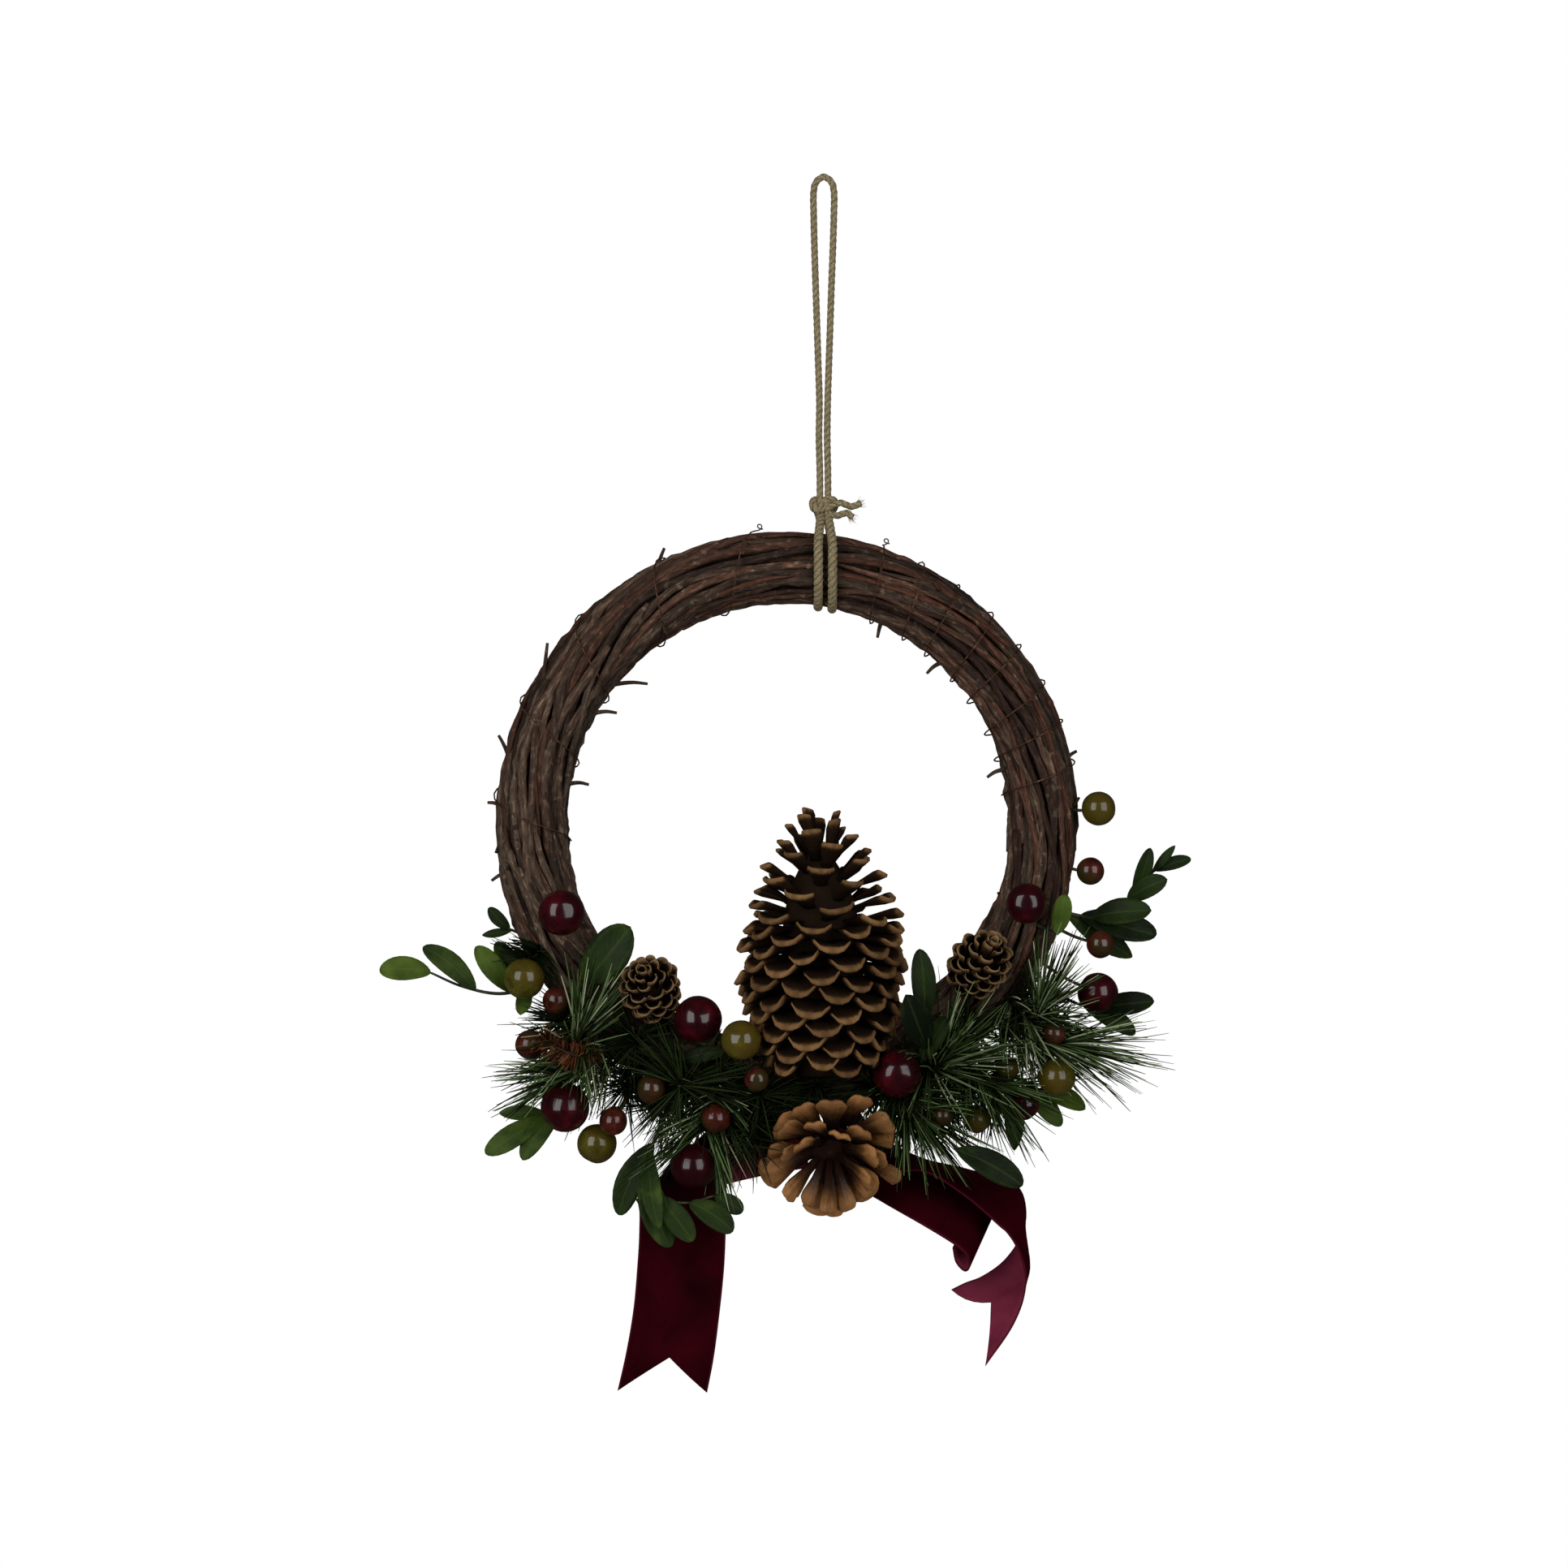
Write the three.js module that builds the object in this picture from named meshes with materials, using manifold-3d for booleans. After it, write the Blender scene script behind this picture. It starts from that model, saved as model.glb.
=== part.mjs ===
// A pinecone wreath: a ring of wired twigs that hangs by a loop of jute twine. Its lower half is
// dressed with pine cones, needle sprays, leafy sprigs, berries on wires and a velvet ribbon.
// Millimetres. X runs to the right, Z runs up, and -Y faces the viewer. The origin is the point
// where the twine loop bears on its hook, so everything else hangs below it.

import * as THREE from 'three';
import { mergeVertices } from 'three/addons/utils/BufferGeometryUtils.js';
import Module from 'manifold-3d';

const wasm = await Module();
wasm.setup();

// Driving dimensions.
const RING_X = -16;
const RING_Z = -279.5;
const RING_RADIUS = 111;
const BUNDLE_RADIUS = 15.6;
const GROOVE_DEPTH = 2.2;
const RIDGES = 10;
const RING_STEPS = 48;
const GAP = 0.3;
const ROOT_DEPTH = 1.5;
const TWINE_RADIUS = 1.5;
const WIRE_RADIUS = 0.45;
const BERRY_WIRE_RADIUS = 0.8;
const STEM_RADIUS = 1;
const STALK_RADIUS = 2;
const SPINE_RADIUS = 1.3;
const NEEDLE_RADIUS = 0.5;
const LEAF_THICKNESS = 0.8;
const RIBBON_THICKNESS = 0.8;

const FULL_TURN = 2 * Math.PI;
const GOLDEN_ANGLE = Math.PI * (3 - Math.sqrt(5));
const UP = new THREE.Vector3(0, 0, 1);
const VIEWER = new THREE.Vector3(0, -1, 0);
const radians = THREE.MathUtils.degToRad;
const degrees = THREE.MathUtils.radToDeg;
const lerp = THREE.MathUtils.lerp;

// Finishes.
function finish(color, roughness, metalness = 0) {
  return new THREE.MeshStandardMaterial({ color, roughness, metalness, flatShading: true });
}

const twigBark = finish(0x3b2a20, 0.9);
const rustyWire = finish(0x6b3a22, 0.55, 0.8);
const juteTwine = finish(0x8a7a5c, 0.95);
const darkCone = finish(0x4a3424, 0.85);
const goldenCone = finish(0x8a5f34, 0.75);
const brownCone = finish(0x5a3d28, 0.85);
const pineGreen = finish(0x3f5a38, 0.6);
const rustBrown = finish(0x7a4024, 0.8);
const leafGreen = finish(0x24391a, 0.5);
const redBerry = finish(0x4a0a18, 0.15);
const oliveBerry = finish(0x4a4a18, 0.15);
const brownBerry = finish(0x4a2a20, 0.15);
const velvet = finish(0x3a0610, 0.9);

// Points are given as right, towards the viewer, and up.
function at(x, front, z) {
  return new THREE.Vector3(x, -front, z);
}

function points(rows) {
  return rows.map(([x, front, z]) => at(x, front, z));
}

// A repeatable stream of numbers from 0 to 1.
function seededRandom(seed) {
  let state = seed;
  return () => {
    state = (state * 1664525 + 1013904223) % 4294967296;
    return state / 4294967296;
  };
}

// Joining and cutting.
function solidOf(geometry) {
  geometry.deleteAttribute('normal');
  geometry.deleteAttribute('uv');
  const merged = mergeVertices(geometry, 1e-4);
  const mesh = new wasm.Mesh({
    numProp: 3,
    vertProperties: new Float32Array(merged.getAttribute('position').array),
    triVerts: new Uint32Array(merged.index.array),
  });
  return new wasm.Manifold(mesh);
}

function geometryOf(solid) {
  const mesh = solid.getMesh();
  const geometry = new THREE.BufferGeometry();
  geometry.setAttribute('position', new THREE.BufferAttribute(mesh.vertProperties, 3));
  geometry.setIndex(new THREE.BufferAttribute(mesh.triVerts, 1));
  geometry.computeVertexNormals();
  return geometry;
}

function fuse(geometries) {
  const solids = geometries.map(solidOf);
  return solids.reduce((whole, solid) => whole.add(solid));
}

function largestBody(solid) {
  const bodies = solid.decompose();
  return bodies.reduce((best, body) => (body.volume() > best.volume() ? body : best));
}

// A thin sheet as a closed solid: rows of points with the same number of points or one, given
// half the sheet's thickness to each side. Both faces are split into triangles alike.
function sheetGeometry(rows, halfThickness) {
  const positions = [];
  const index = [];
  const corner = (point) => positions.push(...point.toArray()) / 3 - 1;
  const front = rows.map((row, r) => row.map((p, c) => corner(p.clone().add(halfThickness(r, c)))));
  const back = rows.map((row, r) => row.map((p, c) => corner(p.clone().sub(halfThickness(r, c)))));
  const face = (a, b, c) => {
    index.push(front[a[0]][a[1]], front[b[0]][b[1]], front[c[0]][c[1]]);
    index.push(back[a[0]][a[1]], back[c[0]][c[1]], back[b[0]][b[1]]);
  };
  const wall = (a, b) => {
    index.push(front[a[0]][a[1]], back[a[0]][a[1]], back[b[0]][b[1]]);
    index.push(front[a[0]][a[1]], back[b[0]][b[1]], front[b[0]][b[1]]);
  };
  for (let r = 0; r + 1 < rows.length; r += 1) {
    const nearLast = rows[r].length - 1;
    const farLast = rows[r + 1].length - 1;
    for (let c = 0; c < Math.max(nearLast, farLast); c += 1) {
      if (nearLast > 0) face([r, c], [r + 1, Math.min(c, farLast)], [r, c + 1]);
      if (farLast > 0) face([r, Math.min(c + 1, nearLast)], [r + 1, c], [r + 1, c + 1]);
    }
    wall([r, 0], [r + 1, 0]);
    wall([r + 1, farLast], [r, nearLast]);
  }
  for (let c = 0; c + 1 < rows[0].length; c += 1) wall([0, c + 1], [0, c]);
  const end = rows.length - 1;
  for (let c = 0; c + 1 < rows[end].length; c += 1) wall([end, c], [end, c + 1]);
  const geometry = new THREE.BufferGeometry();
  geometry.setAttribute('position', new THREE.Float32BufferAttribute(positions, 3));
  geometry.setIndex(index);
  return geometry;
}

// A round bar with many flat sides, along a smooth curve through the points.
function barGeometry(path, radius, sides, steps) {
  const corners = [];
  for (let side = 0; side < sides; side += 1) {
    const angle = (side / sides) * FULL_TURN;
    corners.push(new THREE.Vector2(radius * Math.cos(angle), radius * Math.sin(angle)));
  }
  const section = new THREE.Shape(corners);
  const extrudePath = new THREE.CatmullRomCurve3(path);
  return new THREE.ExtrudeGeometry(section, { steps, extrudePath, bevelEnabled: false });
}

// Stands a geometry that points along +Y on one point and aims it at another.
function aimed(geometry, height, from, to) {
  const direction = to.clone().sub(from).normalize();
  const turn = new THREE.Quaternion().setFromUnitVectors(new THREE.Vector3(0, 1, 0), direction);
  return geometry.translate(0, height / 2, 0).applyQuaternion(turn).translate(from.x, from.y, from.z);
}

function rodGeometry(from, to, radius, sides) {
  const height = from.distanceTo(to);
  return aimed(new THREE.CylinderGeometry(radius, radius, height, sides), height, from, to);
}

function spikeGeometry(from, to, radius) {
  const height = from.distanceTo(to);
  return aimed(new THREE.ConeGeometry(radius, height, 3), height, from, to);
}

// What is already in place, as round-ended bars that later pieces keep clear of.
const taken = [];

function take(owner, from, to, radius) {
  taken.push({ owner, from, to, radius });
}

// The shortest distance between two straight stretches.
function distanceBetween(a, b, c, d) {
  const u = b.clone().sub(a);
  const v = d.clone().sub(c);
  const w = a.clone().sub(c);
  const uu = u.dot(u);
  const uv = u.dot(v);
  const vv = v.dot(v);
  const uw = u.dot(w);
  const vw = v.dot(w);
  const cross = uu * vv - uv * uv;
  const clamp = THREE.MathUtils.clamp;
  let s = cross > 1e-9 ? clamp((uv * vw - vv * uw) / cross, 0, 1) : 0;
  const t = vv > 1e-9 ? clamp((uv * s + vw) / vv, 0, 1) : 0;
  s = uu > 1e-9 ? clamp((uv * t - uw) / uu, 0, 1) : 0;
  return w.addScaledVector(u, s).addScaledVector(v, -t).length();
}

function outsideRing(from, to, radius) {
  const samples = 12;
  for (let i = 0; i <= samples; i += 1) {
    const point = from.clone().lerp(to, i / samples);
    const across = Math.hypot(point.x - RING_X, point.z - RING_Z) - RING_RADIUS;
    if (Math.hypot(across, point.y) < BUNDLE_RADIUS + 1.2 + radius) return false;
  }
  return true;
}

function isHit(owner, from, to, radius) {
  return taken.some((piece) => piece.owner !== owner
    && distanceBetween(from, to, piece.from, piece.to) < piece.radius + radius + GAP);
}

function isClear(owner, from, to, radius) {
  return !isHit(owner, from, to, radius) && outsideRing(from, to, radius);
}

// The wreath, and how a piece joins it.
const wreath = new THREE.Group();

function addPiece(name, geometry, material) {
  const mesh = new THREE.Mesh(geometry, material);
  mesh.name = name;
  wreath.add(mesh);
}

// The twig ring. Its section has a ridge for each outer twig and a groove between two of them,
// and turns once on the way round, as laid vines do.
function cornerRadius(corner, turn) {
  const ridge = Math.floor(corner / 2) % RIDGES;
  const swell = 0.55 * Math.sin(5 * turn + 2.1 * ridge) + 0.35 * Math.sin(9 * turn + 1.3 * ridge);
  return BUNDLE_RADIUS + swell - (corner % 2) * GROOVE_DEPTH;
}

// A point at a distance from the bundle's middle line. A side of 0 degrees is the ring's outer
// edge, 90 faces the viewer, and 180 is the inner edge.
function ringPoint(turn, side, distance) {
  const reach = RING_RADIUS + distance * Math.cos(side);
  return at(RING_X + reach * Math.cos(turn), distance * Math.sin(side), RING_Z + reach * Math.sin(turn));
}

function bundleGeometry(lift) {
  const corners = 2 * RIDGES;
  const positions = [];
  const index = [];
  for (let step = 0; step < RING_STEPS; step += 1) {
    const turn = (step / RING_STEPS) * FULL_TURN;
    for (let corner = 0; corner < corners; corner += 1) {
      const side = (corner / corners) * FULL_TURN + turn;
      positions.push(...ringPoint(turn, side, cornerRadius(corner, turn) + lift).toArray());
      const here = step * corners + corner;
      const beside = step * corners + ((corner + 1) % corners);
      const ahead = ((step + 1) % RING_STEPS) * corners;
      index.push(here, ahead + corner, ahead + ((corner + 1) % corners));
      index.push(here, ahead + ((corner + 1) % corners), beside);
    }
  }
  const geometry = new THREE.BufferGeometry();
  geometry.setAttribute('position', new THREE.Float32BufferAttribute(positions, 3));
  geometry.setIndex(index);
  return geometry;
}

// Stray twig ends: the angle round the ring and the distance from its centre, at root and tip.
const STRAY_ENDS = [
  [118, 122, 114, 131], [150, 122, 143, 130], [142, 98, 135, 86], [151, 98, 147, 88],
  [168, 122, 163, 131], [170, 98, 169, 88], [177, 122, 176, 130], [190, 122, 191, 131],
  [12, 122, 14, 130], [14, 98, 13, 89], [65, 98, 64, 90], [46, 98, 47, 89],
];

function strayEnd([rootAngle, rootReach, tipAngle, tipReach], number) {
  const front = 5 * Math.sin(2.3 * number);
  const root = ringPoint(radians(rootAngle), 0, rootReach - RING_RADIUS);
  const tip = ringPoint(radians(tipAngle), 0, tipReach - RING_RADIUS);
  root.y = -front;
  tip.y = -1.4 * front;
  return rodGeometry(root, tip, 1.1, 3);
}

function twigRing() {
  return fuse([bundleGeometry(0), ...STRAY_ENDS.map(strayEnd)]);
}

const ringClearance = solidOf(bundleGeometry(GAP));

// A piece is sunk into the ring, and the ring's outline with its clearance is cut off it.
function seated(solid) {
  return largestBody(solid.subtract(ringClearance));
}

function seat(angle, side) {
  const turn = radians(angle);
  return ringPoint(turn, radians(side), BUNDLE_RADIUS - ROOT_DEPTH - GROOVE_DEPTH / 2);
}

addPiece('twig_ring', geometryOf(twigRing()), twigBark);

// The binding wire, a loose helix round the bundle on each side of the hanging point.
function bindingWire(startAngle, endAngle, turns, phase) {
  const stepsPerTurn = 8;
  const steps = Math.round(turns * stepsPerTurn);
  const clearOfRidges = BUNDLE_RADIUS + 1.1 + GAP + WIRE_RADIUS;
  const radius = clearOfRidges / Math.cos(Math.PI / stepsPerTurn);
  const path = [];
  for (let step = 0; step <= steps; step += 1) {
    const share = step / steps;
    const side = phase + share * turns * FULL_TURN;
    path.push(ringPoint(radians(lerp(startAngle, endAngle, share)), side, radius));
  }
  return barGeometry(path, WIRE_RADIUS, 3, steps);
}

addPiece('binding_wire_right', bindingWire(71, 8, 7.5, 0), rustyWire);
addPiece('binding_wire_left', bindingWire(96, 184, 4.5, 0), rustyWire);

// The twine binding: two turns round the bundle that rise to a knot, and the knot's two tails.
const KNOT = { x: 0, z: -144.5, turnRadius: 3.6, heartRadius: 4.6 };
const WRAP_X = [-2.5, 3.6];

function twineWrap(x) {
  const across = Math.sqrt(RING_RADIUS ** 2 - (x - RING_X) ** 2);
  const middle = at(x, 0, RING_Z + across);
  const reach = BUNDLE_RADIUS + 1.1 + GAP + TWINE_RADIUS;
  const path = [];
  const sides = 10;
  for (let i = 0; i <= sides; i += 1) {
    const angle = radians(lerp(38, -218, i / sides));
    path.push(middle.clone().add(at(0, reach * Math.cos(angle), reach * Math.sin(angle))));
  }
  path.push(at(lerp(x, KNOT.x, 0.5), -2, KNOT.z - 2), at(lerp(x, KNOT.x, 0.5), 2, KNOT.z - 2));
  const curve = new THREE.CatmullRomCurve3(path, true);
  return new THREE.TubeGeometry(curve, 12, TWINE_RADIUS, 4, true);
}

function twineKnot() {
  const turns = [0, 1].map((side) => {
    const tilt = side === 0 ? 0.35 : -0.4;
    const ring = new THREE.TorusGeometry(KNOT.turnRadius, TWINE_RADIUS + 0.5, 4, 7);
    return ring.rotateX(Math.PI / 2 + tilt).rotateZ(tilt).translate(KNOT.x, 0, KNOT.z + 1.6 * side);
  });
  const heart = new THREE.IcosahedronGeometry(KNOT.heartRadius, 0);
  heart.translate(KNOT.x, 0, KNOT.z + 0.4);
  return [...turns, heart];
}

const TWINE_TAILS = [
  points([[1, 3, -143], [7, 4, -140.5], [12, 3, -142], [17, 2, -140.5]]),
  points([[1, 2, -145], [6, 5, -146], [10, 6, -145], [13.5, 6, -147.5]]),
];

function twineBinding() {
  const wraps = WRAP_X.map(twineWrap);
  const tails = TWINE_TAILS.map((tail) => barGeometry(tail, TWINE_RADIUS, 4, 4));
  return fuse([...wraps, ...twineKnot(), ...tails]);
}

addPiece('twine_binding', geometryOf(twineBinding()), juteTwine);

// The hanging loop: up from the knot, over the hook and back down. Its strands lie side by side
// below and part near the hook.
const HANGING_ROUTE = points([
  [-1.7, 0, -138], [-1.7, 0.2, -128], [-2.1, 0.6, -112], [-1.9, 0, -96], [-2.4, -0.4, -80],
  [-3, 0, -62], [-3.6, 0.2, -44], [-4.1, 0.1, -28], [-4.4, 0, -14], [-4.4, 0, -5],
  [-3.4, 0, -0.9], [0, 0, 1.5],
  [3.4, 0, -0.9], [4.4, 0, -5], [4.4, 0, -14], [4, -0.1, -28], [3.4, -0.2, -44],
  [2.8, 0, -62], [2.2, 0.4, -80], [1.7, 0, -96], [1.5, -0.6, -112], [1.8, -0.2, -128],
  [1.8, 0, -138],
]);

addPiece('hanging_twine', barGeometry(HANGING_ROUTE, TWINE_RADIUS, 6, 44), juteTwine);

// Pine cones. A cone stands on its base along +Z: a core, and scales in a spiral that end on its
// outline. Each scale is a cupped tongue with a thick rounded end.
function scaleGeometry({ length, width, thickness, cup, blunt }) {
  const stations = [[0, 0, 0.6], [0.5, 0.34, 0.8], [0.86, 0.5, 1], [1, blunt, 0.8]];
  const rows = stations.map(([along, half]) => {
    const sides = half > 0 ? [-1, 0, 1] : [0];
    return sides.map((side) => new THREE.Vector3(along * length, side * half * width,
      cup * side * side * along));
  });
  const half = (r) => new THREE.Vector3(0, 0, (stations[r][2] * thickness) / 2);
  return sheetGeometry(rows, half);
}

function along(table, value) {
  const next = table.findIndex(([place]) => place >= value);
  if (next <= 0) return next === 0 ? table[0][1] : table[table.length - 1][1];
  const [lowPlace, lowValue] = table[next - 1];
  const [highPlace, highValue] = table[next];
  return lerp(lowValue, highValue, (value - lowPlace) / (highPlace - lowPlace));
}

// The outline and the tilt are tables from the height to the radius and to the degrees by which
// a scale rises.
function pineCone({ name, base, tip, stalk, outline, tilt, count, core, first, last, scale, start }) {
  const height = base.distanceTo(tip);
  const profile = [new THREE.Vector2(0, core.from)];
  for (let i = 0; i <= 5; i += 1) {
    const rise = lerp(core.from, core.to, i / 5);
    profile.push(new THREE.Vector2(core.share * along(outline, rise) + 0.6, rise + 0.01));
  }
  profile.push(new THREE.Vector2(0, core.to + 3));
  const pieces = [new THREE.LatheGeometry(profile, 9).rotateX(Math.PI / 2)];
  for (let i = 0; i < count; i += 1) {
    const rise = lerp(first, last, i / (count - 1));
    const radius = along(outline, rise);
    const lean = radians(along(tilt, rise));
    const rootRadius = core.share * radius * 0.45;
    const length = (radius - rootRadius) / Math.cos(lean);
    const width = scale.width * lerp(scale.least, 1, radius / scale.widest);
    const tongue = scaleGeometry({ ...scale, length, width });
    tongue.rotateY(-lean).translate(rootRadius, 0, rise - length * Math.sin(lean));
    pieces.push(tongue.rotateZ(start + i * GOLDEN_ANGLE));
  }
  const turn = new THREE.Quaternion().setFromUnitVectors(UP, tip.clone().sub(base).normalize());
  pieces.forEach((piece) => piece.applyQuaternion(turn).translate(base.x, base.y, base.z));
  if (stalk) pieces.push(rodGeometry(seat(...stalk), base.clone().lerp(tip, 0.1), STALK_RADIUS, 5));
  const beads = 12;
  for (let i = 0; i <= beads; i += 1) {
    const place = base.clone().lerp(tip, i / beads);
    take(name, place, place, along(outline, (i / beads) * height) + 0.5);
  }
  return seated(fuse(pieces));
}

const LARGE_CONE = {
  name: 'large_pinecone',
  base: at(1.5, 29, -393),
  tip: at(-3, 24, -271),
  outline: [[0, 16], [8, 22], [16, 27], [30, 33], [46, 36.5], [60, 36.5], [76, 34.2], [92, 28.5],
    [108, 19], [116, 12.5], [122, 7]],
  tilt: [[0, -30], [30, -26], [46, -20], [61, -8], [76, 10], [86, 20], [96, 30], [105, 42],
    [114, 60], [122, 75]],
  core: { from: 6, to: 106, share: 0.48 },
  first: 6,
  last: 121,
  count: 39,
  scale: { width: 19, thickness: 3.4, cup: 4, least: 0.45, widest: 36, blunt: 0.26 },
  start: 0.4,
};

const FRONT_CONE = {
  name: 'front_pinecone',
  base: at(3, 22, -414.5),
  tip: at(2, 52, -429.5),
  stalk: [279.5, 50],
  outline: [[0, 27], [10, 31.5], [20, 29], [30, 22], [38, 11]],
  tilt: [[0, 4], [12, 14], [24, 38], [38, 66]],
  core: { from: 0.5, to: 16, share: 0.3 },
  first: 7,
  last: 33,
  count: 17,
  scale: { width: 13, thickness: 3, cup: 2.4, least: 0.5, widest: 30, blunt: 0.36 },
  start: 0.2,
};

const SMALL_CONE = {
  outline: [[0, 8], [9, 12.5], [20, 14.5], [28, 13], [34, 8], [37, 4]],
  tilt: [[0, 10], [14, 24], [26, 44], [34, 66], [37, 78]],
  core: { from: 0.5, to: 28, share: 0.4 },
  first: 4,
  last: 37,
  count: 11,
  scale: { width: 11, thickness: 1.3, cup: 2, least: 0.45, widest: 14, blunt: 0 },
  start: 1,
};

const SMALL_CONE_LEFT = {
  ...SMALL_CONE,
  name: 'small_cone_left',
  base: at(-71, 11, -360),
  tip: at(-77, 40, -342),
};

const SMALL_CONE_RIGHT = {
  ...SMALL_CONE,
  name: 'small_cone_right',
  base: at(60, 15, -351),
  tip: at(73.5, 44, -326),
};

addPiece('large_pinecone', geometryOf(pineCone(LARGE_CONE)), darkCone);
addPiece('front_pinecone', geometryOf(pineCone(FRONT_CONE)), goldenCone);
addPiece('small_cone_left', geometryOf(pineCone(SMALL_CONE_LEFT)), brownCone);
addPiece('small_cone_right', geometryOf(pineCone(SMALL_CONE_RIGHT)), brownCone);

// The velvet ribbon. Each length is given by rows of points on its two edges, and a third value
// in a row says how far its middle bulges. A free end is cut to a swallowtail by drawing the
// middle back.
function ribbonGeometry(name, edges, steps, notch) {
  const one = new THREE.CatmullRomCurve3(edges.map(([edge]) => at(...edge)));
  const other = new THREE.CatmullRomCurve3(edges.map(([, edge]) => at(...edge)));
  const bulge = new THREE.CatmullRomCurve3(edges.map(([, , out]) => at(...(out ?? [0, 0, 0]))));
  const rows = [];
  for (let step = 0; step <= steps; step += 1) {
    const a = one.getPoint(step / steps);
    const b = other.getPoint(step / steps);
    rows.push([a, a.clone().lerp(b, 0.5).add(bulge.getPoint(step / steps)), b]);
  }
  const bars = 4 * steps;
  for (let bar = 0; bar <= bars; bar += 1) {
    take(name, one.getPoint(bar / bars), other.getPoint(bar / bars), RIBBON_THICKNESS / 2 + 0.4);
  }
  const before = rows[1][1].clone().sub(rows[0][1]).normalize();
  if (notch > 0) rows[0][1].addScaledVector(before, notch);
  const half = (r, c) => {
    const low = Math.max(r - 1, 0);
    const high = Math.min(r + 1, steps);
    const onward = rows[high][c].clone().sub(rows[low][c]);
    const across = rows[r][2].clone().sub(rows[r][0]);
    return onward.cross(across).setLength(RIBBON_THICKNESS / 2);
  };
  return sheetGeometry(rows, half);
}

const LEFT_TAIL = [
  [[-88.8, 22, -523], [-50.3, 24, -523.5]],
  [[-85, 22, -506], [-47.5, 23.5, -509]],
  [[-82, 21.5, -488], [-45, 22, -490]],
  [[-80.4, 20, -470], [-43, 20, -470]],
  [[-79.6, 18.5, -455], [-42.2, 18.5, -448]],
  [[-79.8, 17.4, -444], [-42.4, 17.4, -408]],
  [[-81, 15.6, -441.5], [-43.5, 15.6, -405]],
  [[-78.5, 13.8, -442], [-41.5, 13.8, -405]],
  [[-60, 13.4, -440], [-33, 13.2, -405]],
  [[-38, 14, -434], [-22, 12.2, -402.5]],
  [[-22, 14, -430.5], [-14, 11.2, -400.6]],
  [[-7, 14, -428], [-6, 11.2, -400.6]],
];

const RIGHT_TAIL = [
  [[54, 34, -478], [68, 44, -509.5]],
  [[61, 22, -476.5], [79.5, 48, -491.5]],
  [[68, 17, -474.5], [84, 48, -480], [2, 0, 0]],
  [[77.5, 12, -468.5], [85, 46, -470.5], [5.2, 0, 0]],
  [[85, 6, -459], [82, 42, -460], [3.4, 0, 0]],
  [[87.5, 5, -448.5], [77.5, 39, -453], [1, 0, 0]],
  [[84, 4, -437], [75, 36.5, -451]],
  [[62, 4, -429.5], [60, 36, -438]],
  [[42, 5, -424.5], [42, 34, -427.5]],
  [[24, 11.5, -414], [24, 22, -431]],
  [[11, 9.2, -398.6], [9, 14.5, -433]],
];

const LOOP = [
  [[67, 1, -440.5], [54.9, 31, -460.5]],
  [[69.5, 1.5, -447], [56.3, 31.5, -466.8]],
  [[72, 4, -450.5], [59.8, 34.2, -470.1]],
  [[73, 7, -449], [61.6, 37, -468]],
  [[71, 9.5, -444], [60.4, 39, -463]],
  [[66, 9, -438.5], [56.5, 39, -459.1]],
  [[61, 8, -435.5], [52, 38.5, -456.1]],
  [[48, 7, -429], [42, 34, -450.5]],
  [[32, 8.5, -423.5], [25, 16, -442.5]],
  [[21, 6, -415], [17, 11, -438]],
  [[12, 5.5, -400.5], [9, 9, -430]],
];

function addRibbon(name, edges, steps, notch) {
  addPiece(name, geometryOf(seated(solidOf(ribbonGeometry(name, edges, steps, notch)))), velvet);
}

addRibbon('ribbon_left_tail', LEFT_TAIL, 24, 15);
addRibbon('ribbon_right_tail', RIGHT_TAIL, 22, 15);
addRibbon('ribbon_loop', LOOP, 20, 0);

// Needle sprays: a slim spine from its seat, and needles that fan out from it. The needles near
// the seat open widest. A needle that would cross a neighbour is drawn again.
const SPRAYS = [
  ['needles_left_upper', [226, 50], [[-107, 22, -376], [-103, 27, -366]], 16, 38, [8, 38], 11],
  ['needles_left_lower', [233, 30], [[-104, 14, -385], [-113, 16, -388]], 15, 35, [12, 48], 12],
  ['needles_centre', [249, 78], [[-59, 27, -391], [-62, 36, -391]], 17, 33, [45, 82], 13],
  ['needles_centre_lower', [256, 62], [[-48, 23, -403], [-51, 28, -411]], 16, 41, [8, 42], 14],
  ['needles_right_inner', [300, 80], [[47, 27, -384], [53, 32, -377]], 16, 38, [12, 52], 15],
  ['needles_right_upper', [322, 40], [[90, 19, -364], [94, 25, -355]], 15, 40, [8, 38], 16],
  ['needles_right_outer', [317, 25], [[94, 17, -373], [110, 20, -375]], 19, 42, [8, 42], 17],
  ['needles_right_middle', [307, 35], [[67, 20, -388], [76, 25, -392]], 16, 38, [10, 50], 18],
  ['needles_right_lower', [292, 48], [[36, 22, -400], [42, 28, -405]], 16, 42, [8, 42], 19],
];

const RUST_SPRIG = ['rust_sprig', [229, 52], [[-103, 27, -379], [-112, 31, -376], [-121, 31, -371]]];

function takeSpine(name, curve) {
  const parts = 4;
  for (let part = 0; part < parts; part += 1) {
    take(name, curve.getPointAt(part / parts), curve.getPointAt((part + 1) / parts), SPINE_RADIUS);
  }
}

function spineOf([name, root, stem]) {
  const path = [seat(...root), ...points(stem)];
  const curve = new THREE.CatmullRomCurve3(path);
  takeSpine(name, curve);
  return { path, curve };
}

const sprayCurves = SPRAYS.map(spineOf);
const rustCurve = spineOf(RUST_SPRIG);

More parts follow.
